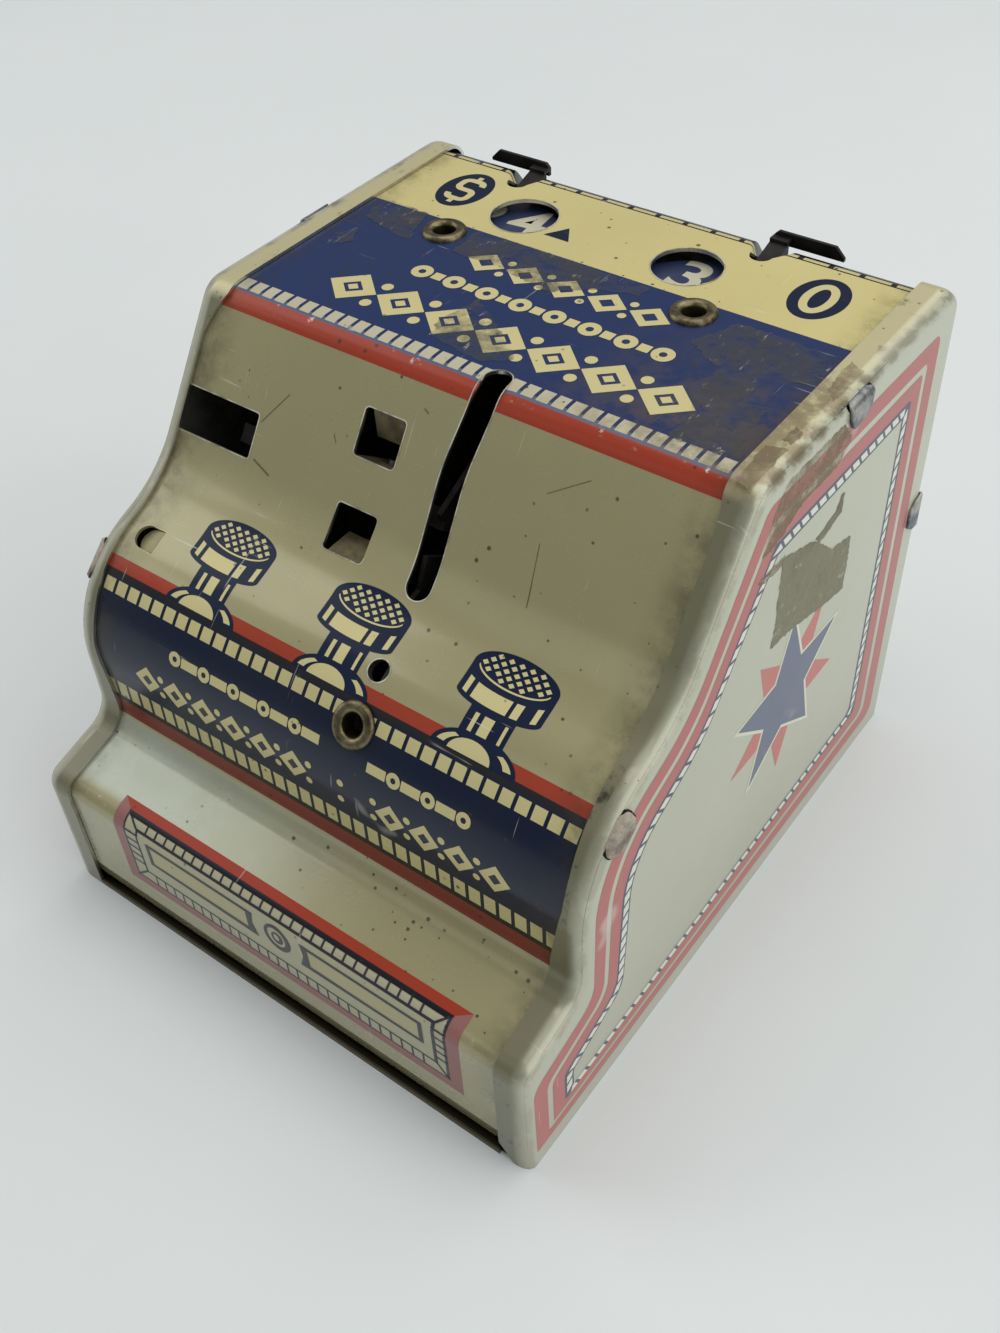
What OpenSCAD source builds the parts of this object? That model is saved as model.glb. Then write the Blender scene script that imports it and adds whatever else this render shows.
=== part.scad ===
// Toy coin bank shaped like a small cash register: a bent tin sheet held between two flanged side panels,
// with two numbered dials under the top, a coin lever behind the slot and a trap door in the base.
// The origin is at the middle of the footprint, on the surface it stands on. +X is right, +Y is the back.

/* [Body] */
// Width over the side panels
body_w = 63.5; // [60:0.5:72]
// Depth from the drawer front to the back
body_d = 73.5; // [72:0.5:84]
// Height of the top
body_h = 58.5; // [56:0.5:66]
// Thickness of the tin sheet
sheet_t = 0.35; // [0.25:0.05:0.5]
// Play between sheets that lie on each other
fit_gap = 0.05; // [0.03:0.01:0.1]

/* [Front outline] */
// Height of the drawer front
drawer_h = 16.6; // [14:0.2:18]
// Height of the dark groove under the drawer front
groove_h = 1.4; // [1.2:0.1:3.5]
// Depth of the ledge above the drawer
ledge_d = 9.1; // [8:0.1:11]
// Rise of the ledge from front to back
ledge_rise = 2.6; // [1.5:0.1:3.5]
// Height of the band above the ledge
band_h = 17.4; // [16:0.2:19]
// Backward lean of the band
band_lean = 0.2; // [0:0.1:1]
// Depth of the key shelf
shelf_d = 14.5; // [13.5:0.1:16]
// Rise of the key shelf
shelf_rise = 5.5; // [4:0.1:6.5]
// Depth of the sloping upper front
face_d = 11.7; // [10.5:0.1:13]
// Bend radius at the top of the drawer
drawer_r = 2.5; // [1.5:0.1:3]
// Bend radius behind the ledge
ledge_r = 3; // [2:0.1:4]
// Bend radius of the rounded band
band_r = 14; // [11:0.5:15]
// Bend radius behind the key shelf
shelf_r = 15; // [10:0.5:18]
// Bend radius at the front edge of the top
brow_r = 3.5; // [2.5:0.1:4.5]
// Corner radius of the sides at the rear edge of the top
rear_r = 2.5; // [1.5:0.1:3]
// Bend radius of the sheet between them at the rear edge of the top
roll_r = 3.5; // [2.5:0.1:3.8]
// Bend radius of the hem under the drawer front
hem_r = 0.9; // [0.8:0.1:1.6]
// Depth of the hem under the drawer front
hem_d = 3.5; // [3:0.1:5]

/* [Side panels] */
// Depth of the flange over the wrap, from the side's outer face
flange_d = 3.6; // [3.2:0.1:4.5]
// Depth of the left flange on the sloping front
flange_slope_left = 1.9; // [1.6:0.1:3.2]
// Depth of the right flange on the sloping front
flange_slope_right = 3; // [1.6:0.1:3.2]
// Depth of both flanges on the rounded band
flange_band = 2.4; // [1.6:0.1:3.2]
// Height and depth of the slanting cut at the foot of the right flange
flange_cut = 2.3; // [0.5:0.1:2.8]
// Width of a crimp tab
tab_w = 4.2; // [3:0.1:5]
// Length of a crimp tab folded over the side
tab_l = 2.6; // [2:0.1:3.5]
// Play of a crimp tab in its cut-out
tab_play = 0.2; // [0.1:0.05:0.4]
// Distance of the top tab behind the middle
tab_top_y = 15.4; // [8:0.2:18]
// Height of the tab in the back
tab_back_z = 32; // [24:0.5:36]
// Angle of the tab on the band, above level
tab_band_a = 48; // [44:1:58]

/* [Holes in the front] */
// Place of the coin slot across the body
slot_x = 3.5; // [3:0.1:4]
// Width of the coin slot
slot_w = 2.4; // [2:0.1:2.6]
// How far the slot runs back over the top from the corner line
slot_top = 3; // [2:0.1:5]
// How far the slot bows to the left on its way up the slope
slot_bow = 0.6; // [0:0.1:0.7]
// How far the slot's upper end lies to the right of its place, and the lower end half as far to the left
slot_lean = 0.2; // [0:0.1:0.3]
// Room that wear has added along each edge of the slot
slot_worn = 0.15; // [0:0.05:0.15]
// Height of the slot's lower end above the corner of the key shelf, along the slope
slot_low = 0.1; // [0:0.1:1]
// Place of the square holes across the body
square_x = -5.9; // [-6.5:0.1:-5.5]
// Width of the square holes
square_w = 4.9; // [4:0.1:5.5]
// Height of the square holes along the slope
square_h = 4.7; // [4:0.1:5]
// Middle of the web between the square holes, along the slope from the shelf corner
web_mid = 7.35; // [7:0.05:7.8]
// Width of the web between the square holes
web_w = 4.7; // [4.4:0.1:5]
// Place of the oblong hole across the body
oblong_x = -25.3; // [-25.5:0.1:-24]
// Width of the oblong hole
oblong_w = 9.8; // [7:0.1:10]
// Height of the oblong hole
oblong_h = 4.6; // [4:0.1:5]
// Place of the eyelet and small hole across the body
band_hole_x = 4.4; // [4:0.1:5]
// Angle of the front eyelet on the band, above level
eyelet_a = 37.6; // [34:0.2:40]
// Angle of the small locating hole, above level
pip_a = 61; // [57:0.5:62]
// Radius of the small locating hole
pip_r = 1.1; // [0.8:0.05:1.3]
// Place of the lanced tongue's root across the body
lance_x = -25.4; // [-25.5:0.1:-24]
// Length of the lanced tongue up to its round end
lance_l = 1.7; // [1:0.1:1.8]
// Radius of the lanced tongue's round end
lance_r = 1.3; // [1:0.1:1.4]
// Distance of the lanced tongue down the shelf from the shelf corner
lance_down = 6.9; // [6.5:0.1:7]

/* [Dials] */
// Place of the dime dial across the body
dime_x = 12.7; // [12.4:0.1:13.2]
// Place of the dollar dial across the body
dollar_x = -17.05; // [-17.2:0.05:-16.6]
// Distance of both dial axles from the back
dial_rear = 17.7; // [17.5:0.1:18.5]
// Radius of a dial
dial_r = 12.6; // [11:0.1:12.8]
// Thickness of a dial
dial_t = 0.5; // [0.4:0.05:0.6]
// Gap between the top sheet and a dial
dial_drop = 1.15; // [0.8:0.05:1.4]
// Radius of a dial window
window_r = 3.6; // [3:0.1:4.3]
// Distance of a window from its axle
window_reach = 8.75; // [8:0.05:9]
// Turn of a window from straight back towards the other dial
window_a = 35; // [28:1:40]
// Width of a rear notch
notch_w = 2.4; // [2.2:0.1:3]
// Depth of a rear notch from the back
notch_d = 6; // [5.5:0.1:6.4]
// Depth of the release gap in a dial's rim
rim_gap_d = 1; // [0.6:0.1:1.4]
// Width of the release gap in a dial's rim
rim_gap_w = 3.2; // [2.6:0.1:4]
// Number that the dime dial shows at rest
dime_shows = 3; // [0:1:9]
// Number that the dollar dial shows at rest
dollar_shows = 4; // [0:1:9]

/* [Eyelets] */
// Outer radius of an eyelet's barrel
eyelet_r = 1.65; // [1.5:0.05:1.8]
// Radius of the hole through an eyelet
eyelet_hole_r = 1.15; // [0.9:0.05:1.25]
// Radius of an eyelet's flange
eyelet_flange_r = 2.35; // [2.2:0.05:2.8]
// Height of an eyelet's flange
eyelet_flange_h = 0.55; // [0.4:0.05:0.8]

/* [Register] */
// Thickness of the carry finger and the star wheel
carry_t = 0.7; // [0.5:0.05:0.8]
// Reach of the carry finger
carry_r = 16.3; // [16.2:0.05:16.5]
// Radius over the points of the star wheel
star_r = 13.8; // [13.7:0.05:13.9]
// Radius between the points of the star wheel
star_root_r = 10.5; // [9:0.1:11.5]
// Thickness of the dime ratchet
ratchet_t = 2.4; // [2.2:0.1:2.6]
// Radius over the ratchet's teeth
ratchet_r = 5.2; // [5:0.05:5.3]
// Radius at the root of the ratchet's teeth
ratchet_root_r = 3.9; // [3.7:0.05:4]
// Width of the carry finger
carry_w = 1.4; // [1:0.1:1.6]
// Thickness of a dial washer
washer_t = 0.3; // [0.2:0.05:0.4]

/* [Coin lever] */
// Depth of the lever's pin below the inside of the sheet
pin_depth = 3; // [2.9:0.1:3.4]
// Radius of the lever's pin
pin_r = 0.6; // [0.5:0.05:0.7]
// Running clearance of pins and axles
run_gap = 0.05; // [0.03:0.01:0.08]
// Thickness of the lever
lever_t = 0.6; // [0.5:0.05:0.7]
// Width of the lever's arm to the pawl
arm_w = 2.2; // [1.8:0.1:2.6]
// Depth that the coin finger reaches
finger_d = 14; // [12:0.5:15]
// Thickness of the drive pawl
pawl_t = 0.3; // [0.25:0.05:0.4]
// Height of the drive pawl
pawl_h = 1.6; // [1.2:0.1:1.8]
// Angle of the ratchet face that the pawl holds, about the dime axle
pawl_a = 245; // [243:0.5:247]

/* [Coin guide] */
// Thickness of the guide's sheet
guide_t = 0.5; // [0.4:0.05:0.6]
// Depth of the guide's cheeks behind the slot
cheek_d = 6; // [4:0.5:7]
// Height of the guide's cheeks above the shelf corner, along the slope
cheek_up = 3.4; // [2.5:0.1:4]

/* [Lock springs] */
// Thickness of a lock spring
lock_t = 0.4; // [0.3:0.05:0.45]
// Width of a lock spring
lock_w = 4; // [3:0.1:5]
// Width of a lock spring's head behind the back
head_w = 7.8; // [6:0.1:8]
// Height of a lock spring's head above the top
head_h = 0.45; // [0.2:0.05:0.5]
// Depth of a lock spring's head below the top
head_drop = 0.9; // [0.7:0.05:1.2]
// Bevel at the free end of a lock spring's head
head_bevel = 1; // [0.4:0.1:1.2]
// Height at which a lock spring leaves the back
knee_z = 20; // [16:0.5:26]
// Height at which a lock spring turns straight down to the trap door
ankle_z = 9; // [8:0.5:12]

/* [Trap door] */
// Width of the opening in the base
trap_w = 38; // [32:0.5:40]
// Distance of the opening's rear edge from the back
trap_rear = 5.5; // [5.2:0.1:8]
// Length of the opening from front to back
trap_l = 46.8; // [40:0.2:48]
// Play around the trap door
trap_play = 0.4; // [0.3:0.05:0.6]
// Height of the trap's hinge pin
hinge_z = 1.9; // [1.8:0.1:2.2]
// Radius of the trap's hinge pin
hinge_r = 0.55; // [0.45:0.05:0.65]
// Height of the trap door's rear flange
trap_flange_h = 4.2; // [4:0.1:5]
// Height of the base plate's side flanges
base_flange_h = 4; // [3:0.2:6]

/* [Hidden] */
$fn = 64;

// Degrees of turn for each flat of a bend
bend_step = 5;
// Overlap that makes a cut run clean through
cut = 1;

front = -body_d / 2;
back = body_d / 2;
wall_in = sheet_t + fit_gap;
skin_z = body_h - wall_in;
roof_z = skin_z - sheet_t;
back_skin = back - wall_in;
back_in = back_skin - sheet_t;
wrap_w = body_w - 2 * wall_in;

// Corners of the outline, from the foot of the front over the top to the foot of the back
ledge_z = drawer_h + ledge_rise;
shelf_z = ledge_z + band_h;
face_z = shelf_z + shelf_rise;
corner_foot = [front, 0];
corner_drawer = [front, drawer_h];
corner_ledge = [front + ledge_d, ledge_z];
corner_band = [front + ledge_d + band_lean, shelf_z];
corner_face = corner_band + [shelf_d, shelf_rise];
corner_brow = [corner_face.x + face_d, body_h];
corner_rear = [back, body_h];
corner_heel = [back, 0];
outline = [corner_foot, corner_drawer, corner_ledge, corner_band, corner_face, corner_brow, corner_rear,
    corner_heel];
outline_r = [0, drawer_r, ledge_r, band_r, shelf_r, brow_r, rear_r, 0];
wrap_line = concat([[front + hem_d, groove_h], [front, groove_h]],
    [for (i = [1:6]) outline[i]], [[back, sheet_t + fit_gap]]);
wrap_r = concat([0, hem_r], [for (i = [1:5]) outline_r[i]], [roll_r, 0]);

// Slope of the upper front
face_a = atan2(body_h - face_z, face_d);
face_l = norm(corner_brow - corner_face);
// Centre of the band's bend
band_mid = bend_centre(corner_ledge, corner_band, corner_face, band_r);

// Dial stack, from the top down
stack_gap = 0.02;
dial_y = back - dial_rear;
dial_z = roof_z - dial_drop - dial_t;
carry_z = dial_z - stack_gap - carry_t;
ratchet_z = carry_z - stack_gap - ratchet_t;
washer_z = ratchet_z - stack_gap - washer_t;
clinch_z = washer_z - stack_gap;
// Turned-over end of an eyelet
clinch_t = 0.35;
clinch_r = eyelet_flange_r + 0.3;
// Share of an eyelet's flange that its rounded rim takes
rim_share = 0.45;
collar_r = eyelet_flange_r + 0.5;
washer_r = eyelet_flange_r + 0.9;
axle_bore_r = eyelet_r + run_gap;
steps = 10;
step_a = 360 / steps;
// Each rim gap faces the back when its dial shows nought; the carry finger passes from nine to nought
dime_gap_a = 90 - dime_shows * step_a;
dollar_gap_a = 90 + dollar_shows * step_a;
carry_a = 180 + (steps - 0.5 - dime_shows) * step_a;

// Crimp tabs: how far a tab's root runs into the wrap, and how deep the side is cut for it
tab_root = 0.5;
slit_d = wall_in + tab_root + 2 * fit_gap;
// Height over which the flanges change their depth
taper = 3.5;

// Angle at which the lanced tongue is pressed in
lance_dip = 20;
// Share of the way up the slope at which the slot's bow is deepest
bow_at = 0.62;

// Lever pin, on the slope between the ears
end_play = 0.1;
ear_t = sheet_t + 2 * fit_gap;
ear_gap = web_w - 2 * ear_t;
ear_cap = 1.3;
ear_d = pin_depth + ear_cap;
pin_end = 0.4;
barrel_r = pin_r + 0.65;
spring_l = 1.5;
spring_wire = 0.4;
spring_leg = 3;
coil_r = pin_r + end_play + spring_wire;
barrel_l = ear_gap - spring_l - 3 * end_play;
arm_beside = 1.7;
arm_x = slot_x - slot_w / 2 - arm_beside;
finger_past = 1;
face_foot = inset_corner(corner_band, corner_face, corner_brow, wall_in);
face_up = polar(1, face_a);
face_deep = polar(1, face_a - 90);
pin_at = face_foot + web_mid * face_up + (sheet_t + pin_depth) * face_deep;

// Pawl: its tip lies just behind a tooth's steep face, and its hook leans so that it clears the teeth
pawl_bite = 0.5;
pawl_behind_a = 5;
pawl_lean = 53;
pawl_hook_l = 1.75;
pawl_drop = 0.15;
pawl_foot_l = 2;
pawl_tip = [dime_x, dial_y] + polar(ratchet_r - pawl_bite, pawl_a + pawl_behind_a);
pawl_heel = pawl_tip - polar(pawl_hook_l, pawl_lean);
pawl_z = ratchet_z + ratchet_t - pawl_drop - pawl_h;
pawl_x = arm_x + lever_t + fit_gap;
pawl_foot = [pawl_heel.y + (pawl_foot_l - pawl_t) / 2, pawl_z + pawl_h / 2];
rivet_r = 0.6;
rivet_h = 0.4;

// Coin guide, under the band: angles that its pad and its cheeks run past the holes, and depths of the cheeks
guide_r = band_r - wall_in - sheet_t - fit_gap;
guide_low_a = eyelet_a - 14;
guide_high_a = pip_a + 6;
cheek_low_a = eyelet_a + 16;
cheek_in = 0.6;
cheek_foot_d = 5;
chute_grip = sheet_t + fit_gap + guide_t + 0.4;

// Lock springs: play at the back, at the dial's rim and under the trap door's lip, and length of the nose
lock_play = 0.15;
rim_play = 0.3;
lock_off = 0.9;
nose_l = 1.5;
shoulder = 0.6;

// Trap door
trap_back = back - trap_rear;
trap_front = trap_back - trap_l;
hinge_in = 2.8;
hinge_y = trap_front + hinge_in;
trap_z = 0.15;
door_w = trap_w - 2 * trap_play;
lug_cap = 0.75;
lug_h = hinge_z + hinge_r + lug_cap;
lug_t = 0.6;
lug_d = 3.2;
lug_x = trap_w / 2 + trap_play;
lip_d = 1.7;
lip_z = trap_flange_h - sheet_t;

// Unit vector along v
function unit(v) = v / norm(v);
// Normal that points into the body, to the right of the way a path runs
function inward(a, b) = let (d = unit(b - a)) [d.y, -d.x];
// Corner b moved inwards by k along both of its edges
function inset_corner(a, b, c, k) = let (m = inward(a, b), n = inward(b, c)) b + k * (m + n) / (1 + m * n);
// Bend radius on a path moved inwards by k: smaller outside a convex bend, larger outside a hollow one
function inset_r(a, b, c, r, k) = let (u = b - a, v = c - b) r + k * sign(u.x * v.y - u.y * v.x);
// Centre of the arc that rounds corner b
function bend_centre(a, b, c, r) =
    let (u = unit(a - b), v = unit(c - b), half = acos(u * v) / 2) b + unit(u + v) * r / sin(half);
// Points of the arc that rounds corner b
function bend_arc(a, b, c, r) =
    let (u = unit(a - b), v = unit(c - b), half = acos(u * v) / 2,
        m = bend_centre(a, b, c, r), s = b + u * r / tan(half) - m, e = b + v * r / tan(half) - m,
        a0 = atan2(s.y, s.x), turn = (atan2(e.y, e.x) - a0 + 540) % 360 - 180,
        n = ceil(abs(turn) / bend_step))
    [for (i = [0:n]) m + r * [cos(a0 + turn * i / n), sin(a0 + turn * i / n)]];
// A path moved inwards by k, with every corner rounded
function bent_path(p, r, k) =
    let (n = len(p) - 1,
        q = concat([p[0] + k * inward(p[0], p[1])],
            [for (i = [1:n - 1]) inset_corner(p[i - 1], p[i], p[i + 1], k)],
            [p[n] + k * inward(p[n - 1], p[n])]))
    concat([q[0]],
        [for (i = [1:n - 1])
            each bend_arc(q[i - 1], q[i], q[i + 1], inset_r(p[i - 1], p[i], p[i + 1], r[i], k))],
        [q[n]]);
// The same points from the last to the first
function backwards(p) = [for (i = [len(p) - 1:-1:0]) p[i]];
// Point at radius r and angle a
function polar(r, a) = r * [cos(a), sin(a)];

// Turns a drawing in depth and height into a slab of width w, centred across the body
module across(w) {
    rotate([90, 0, 90]) linear_extrude(w, center = true) children();
}

// A bent sheet along path p, from k0 to k1 under the outline
module bent_sheet(p, r, k0, k1) {
    polygon(concat(bent_path(p, r, k0), backwards(bent_path(p, r, k1))));
}

// Puts a child on the sloping front: its Y runs up from the shelf corner, its Z stands out of the wrap
module on_face(x, up) {
    translate([x, face_foot.x, face_foot.y]) rotate([face_a, 0, 0]) translate([0, up, 0]) children();
}

// Puts a child on the rounded band at an angle above level: its Z stands out of the wrap
module on_band(x, a) {
    p = band_mid + (band_r - wall_in) * [-cos(a), sin(a)];
    translate([x, p.x, p.y]) rotate([90 - a, 0, 0]) children();
}

// Puts a child on the key shelf, down from the shelf corner: its Z stands out of the wrap
module on_shelf(x, down) {
    translate([x, face_foot.x, face_foot.y]) rotate([atan2(shelf_rise, shelf_d), 0, 0])
        translate([0, -down, 0]) children();
}

// Puts a child at a dial's axle, at height z
module at_dial(x, z) {
    translate([x, dial_y, z]) children();
}

// Puts a child at the lever's pin: its Z runs up the slope, its Y into the body
module at_pin() {
    on_face(square_x, web_mid) translate([0, 0, -sheet_t - pin_depth]) rotate([-90, 0, 0]) children();
}

// Puts a child at each crimp tab of one side: its Z stands out of the wrap, its X along the wrap's edge
module at_tabs(side) {
    x = side * wrap_w / 2;
    translate([x, tab_top_y, skin_z]) rotate(90 * side) children();
    translate([x, back_skin, tab_back_z]) rotate([-90, 0, 0]) rotate(90 * side) children();
    on_band(side * wrap_w / 2, tab_band_a) rotate(90 * side) children();
}

// Slot with round ends between two places along Y, cut through the sheet along Z
module slot_cut(w, y0, y1, depth) {
    for (y = [y0 + w / 2, y1 - w / 2]) translate([0, y, -depth]) cylinder(d = w, h = depth + cut);
    translate([-w / 2, y0 + w / 2, -depth]) cube([w, y1 - y0 - w, depth + cut]);
}

// Coin slot on the slope: a round lower end, and edges that bow to the left on their way up to the bend
module slope_slot() {
    half = slot_w / 2 + slot_worn;
    low = slot_low + half;
    mid = slot_low + bow_at * (face_l - slot_low);
    left = -slot_lean / 2;
    translate([left, low, -2 * cut]) cylinder(r = half, h = 3 * cut);
    translate([0, 0, -2 * cut]) linear_extrude(3 * cut) polygon([[left - half, low], [left + half, low],
        [half - slot_bow, mid], [slot_lean + half, face_l], [slot_lean - half, face_l], [-slot_bow - half, mid]]);
}

// Tongue of thickness t with a round free end, from its root at x = 0 to the left
module tongue(r, t) {
    translate([-lance_l, 0, 0]) cylinder(r = r, h = t);
    translate([-lance_l, -r, 0]) cube([lance_l, 2 * r, t]);
}

// A rectangle cut through the sheet along Z
module square_cut(w, h) {
    translate([-w / 2, -h / 2, -cut]) cube([w, h, 2 * cut]);
}

// Hollow eyelet with its flange on z = 0 and its clinched end at depth l
module eyelet(l) {
    rim = eyelet_flange_h * rim_share;
    rotate_extrude() polygon([[eyelet_hole_r, -l - clinch_t], [clinch_r, -l - clinch_t], [clinch_r, -l],
        [eyelet_r, -l], [eyelet_r, 0], [eyelet_flange_r, 0], [eyelet_flange_r, rim],
        [eyelet_flange_r - rim, eyelet_flange_h], [eyelet_hole_r + rim, eyelet_flange_h],
        [eyelet_hole_r, eyelet_flange_h - rim]]);
}

// Ring of thickness t standing on z = 0
module ring(r, bore, t) {
    difference() {
        cylinder(r = r, h = t);
        translate([0, 0, -cut]) cylinder(r = bore, h = t + 2 * cut);
    }
}

// Crimp tab: leaves the wrap's edge and folds down over the side
module crimp_tab() {
    out = wall_in + fit_gap + sheet_t;
    translate([-tab_w / 2, -out, -sheet_t]) cube([tab_w, out + tab_root, sheet_t]);
    translate([-tab_w / 2, -out, -tab_l]) cube([tab_w, sheet_t, tab_l]);
}

// Ear lanced in at a square hole, with the pin's bore
module pin_ear(up) {
    difference() {
        on_face(square_x, up) translate([-square_w / 2, -ear_t / 2, -sheet_t - ear_d])
            cube([square_w, ear_t, ear_d + sheet_t / 2]);
        at_pin() cylinder(r = pin_r + fit_gap, h = 3 * web_w, center = true);
    }
}

// Front, top and back in one bent sheet
module body_wrap() {
    color("darkkhaki") {
        difference() {
            across(wrap_w) bent_sheet(wrap_line, wrap_r, wall_in, wall_in + sheet_t);
            on_face(slot_x, 0) slope_slot();
            translate([slot_x + slot_lean, 0, skin_z])
                slot_cut(slot_w + 2 * slot_worn, corner_brow.x - slot_w, corner_brow.x + slot_top, 3 * cut);
            for (s = [-1, 1]) on_face(square_x, web_mid + s * (web_w + square_h) / 2)
                square_cut(square_w, square_h);
            on_face(oblong_x, web_mid) square_cut(oblong_w, oblong_h);
            on_band(band_hole_x, eyelet_a) cylinder(r = eyelet_r + fit_gap, h = 4 * cut, center = true);
            on_band(band_hole_x, pip_a) cylinder(r = pip_r, h = 4 * cut, center = true);
            on_shelf(lance_x, lance_down) translate([0, 0, -cut]) tongue(lance_r, 2 * cut);
            for (x = [dime_x, dollar_x]) at_dial(x, skin_z) {
                cylinder(r = eyelet_r + fit_gap, h = 4 * cut, center = true);
                rotate(x > 0 ? window_a : -window_a) translate([0, window_reach, 0])
                    cylinder(r = window_r, h = 4 * cut, center = true);
            }
            for (x = [dime_x, dollar_x]) translate([x, back, skin_z - roll_r]) {
                translate([0, notch_w / 2 - notch_d, 0]) cylinder(d = notch_w, h = 2 * roll_r);
                translate([-notch_w / 2, notch_w / 2 - notch_d, 0]) cube([notch_w, notch_d, 2 * roll_r]);
            }
        }
        for (s = [-1, 1]) pin_ear(web_mid + s * (web_w - ear_t) / 2);
        for (side = [-1, 1]) at_tabs(side) crimp_tab();
        on_shelf(lance_x, lance_down) rotate([0, -lance_dip, 0]) translate([0, 0, -sheet_t])
            tongue(lance_r - 2 * fit_gap, sheet_t);
    }
}

// Room beside the flange where it is less deep, on the sloping front and the band
module flange_relief(side, slope_d) {
    w = body_w / 2;
    edge = [[flange_d, body_h - 2 * sheet_t], [slope_d, body_h - brow_r], [slope_d, face_z],
        [flange_band, shelf_z - taper], [flange_band, shelf_z - 2 * taper], [flange_d, ledge_z + ledge_r]];
    translate([0, corner_brow.x + cut, 0]) rotate([90, 0, 0]) linear_extrude(body_d)
        polygon(concat([[side * (w - flange_d - cut), ledge_z + ledge_r],
            [side * (w - flange_d - cut), body_h - 2 * sheet_t]],
            [for (e = edge) [side * (w - e.x), e.y]]));
}

// Slanting cut at the foot of the right flange
module flange_foot_cut() {
    x = body_w / 2 - flange_d;
    translate([0, front + sheet_t + cut, 0]) rotate([90, 0, 0]) linear_extrude(sheet_t + 2 * cut)
        polygon([[x - cut, -cut], [x + flange_cut + cut, -cut], [x - cut, flange_cut + cut]]);
}

// Flanged side pan; side is -1 for the left one and 1 for the right one
module side_panel(side) {
    difference() {
        union() {
            translate([side * (body_w - sheet_t) / 2, 0, 0]) across(sheet_t)
                polygon(bent_path(outline, outline_r, 0));
            translate([side * (body_w - flange_d) / 2, 0, 0]) across(flange_d)
                bent_sheet(outline, outline_r, 0, sheet_t);
        }
        flange_relief(side, side < 0 ? flange_slope_left : flange_slope_right);
        if (side > 0) flange_foot_cut();
        at_tabs(side) translate([-tab_w / 2 - tab_play, -wall_in - cut, -sheet_t - tab_play])
            cube([tab_w + 2 * tab_play, slit_d + cut, sheet_t + 2 * tab_play + cut]);
    }
}

module left_side_panel() {
    color("lightgray") side_panel(-1);
}

module right_side_panel() {
    color("lightgray") side_panel(1);
}

// Floor of the bank, with flanges inside the walls, the front lip, the trap opening and the hinge ears
module base_plate() {
    w = body_w - 2 * wall_in;
    y0 = front + wall_in;
    y1 = back_in - fit_gap;
    lip_w = body_w - 2 * flange_d - 2 * fit_gap;
    flange_y = front + 2 * hem_d;
    color("silver") {
        difference() {
            translate([-w / 2, y0, 0]) cube([w, y1 - y0, sheet_t]);
            translate([-trap_w / 2, trap_front, -cut]) cube([trap_w, trap_l, 2 * cut]);
        }
        translate([-lip_w / 2, front, 0]) cube([lip_w, 2 * sheet_t, 2 * sheet_t]);
        for (s = [-1, 1]) translate([s * (w - sheet_t) / 2 - sheet_t / 2, flange_y, 0])
            cube([sheet_t, y1 - flange_y, base_flange_h]);
        translate([-w / 2, y1 - sheet_t, 0]) cube([w, sheet_t, base_flange_h]);
        for (s = [-1, 1]) translate([s * (lug_x + lug_t / 2) - lug_t / 2, hinge_y, 0]) difference() {
            translate([0, -lug_d / 2, 0]) cube([lug_t, lug_d, lug_h]);
            translate([-cut, 0, hinge_z]) rotate([0, 90, 0])
                cylinder(r = hinge_r + fit_gap, h = lug_t + 2 * cut);
        }
    }
}

// Door in the base, hinged at its front edge, with the rear flange and lip that the lock springs hold
module trap_door() {
    y0 = trap_front + 3 * trap_play;
    y1 = trap_back - trap_play;
    color("silver") {
        translate([-door_w / 2, y0, trap_z]) cube([door_w, y1 - y0, sheet_t]);
        translate([-door_w / 2, y1 - sheet_t, trap_z]) cube([door_w, sheet_t, trap_flange_h - trap_z]);
        translate([-door_w / 2, y1 - lip_d, lip_z]) cube([door_w, lip_d, sheet_t]);
        for (s = [-1, 1]) translate([s * (door_w - lug_t) / 2 - lug_t / 2, y0, trap_z]) difference() {
            cube([lug_t, 2 * (hinge_y - y0), lug_h - trap_z]);
            translate([-cut, hinge_y - y0, hinge_z - trap_z]) rotate([0, 90, 0])
                cylinder(r = hinge_r + run_gap, h = lug_t + 2 * cut);
        }
    }
}

module trap_hinge_pin() {
    l = 2 * (lug_x + lug_t + pin_end);
    color("dimgray") translate([-l / 2, hinge_y, hinge_z]) rotate([0, 90, 0]) cylinder(r = hinge_r, h = l);
}

// Guide below the slot: a pad bent to the band and two cheeks beside the coin's path
module coin_chute() {
    half = slot_w / 2 + guide_t;
    pad_x = slot_x - half;
    pad_w = max(2 * half, band_hole_x + clinch_r + lock_play - pad_x);
    color("lightslategray") {
        difference() {
            translate([pad_x, 0, 0]) rotate([90, 0, 90]) linear_extrude(pad_w)
                polygon(concat(band_arc(guide_r, guide_low_a, guide_high_a),
                    backwards(band_arc(guide_r - guide_t, guide_low_a, guide_high_a))));
            on_band(band_hole_x, eyelet_a) cylinder(r = eyelet_r + fit_gap, h = 6 * cut, center = true);
            on_band(band_hole_x, pip_a) cylinder(r = pip_r, h = 6 * cut, center = true);
        }
        for (s = [-1, 1]) translate([slot_x + s * (half - guide_t / 2), 0, 0]) across(guide_t) coin_cheek();
    }
}

// Points on an arc about the middle of the band's bend, from angle a0 to a1 above level
function band_arc(r, a0, a1) =
    let (n = ceil((a1 - a0) / bend_step))
    [for (i = [0:n]) let (a = a0 + (a1 - a0) * i / n) band_mid + r * [-cos(a), sin(a)]];

// Outline of one cheek of the coin guide, from the pad up beside the lower end of the slot
module coin_cheek() {
    foot = face_foot + (sheet_t + 3 * fit_gap) * face_deep;
    top = foot + cheek_up * face_up + cheek_in * face_deep;
    heel = foot + 2 * cheek_in * face_deep;
    polygon(concat(band_arc(guide_r - guide_t / 2, cheek_low_a, guide_high_a),
        [heel, top, top + cheek_d * face_deep],
        band_arc(guide_r - cheek_foot_d, cheek_low_a, cheek_low_a + bend_step)));
}

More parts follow.
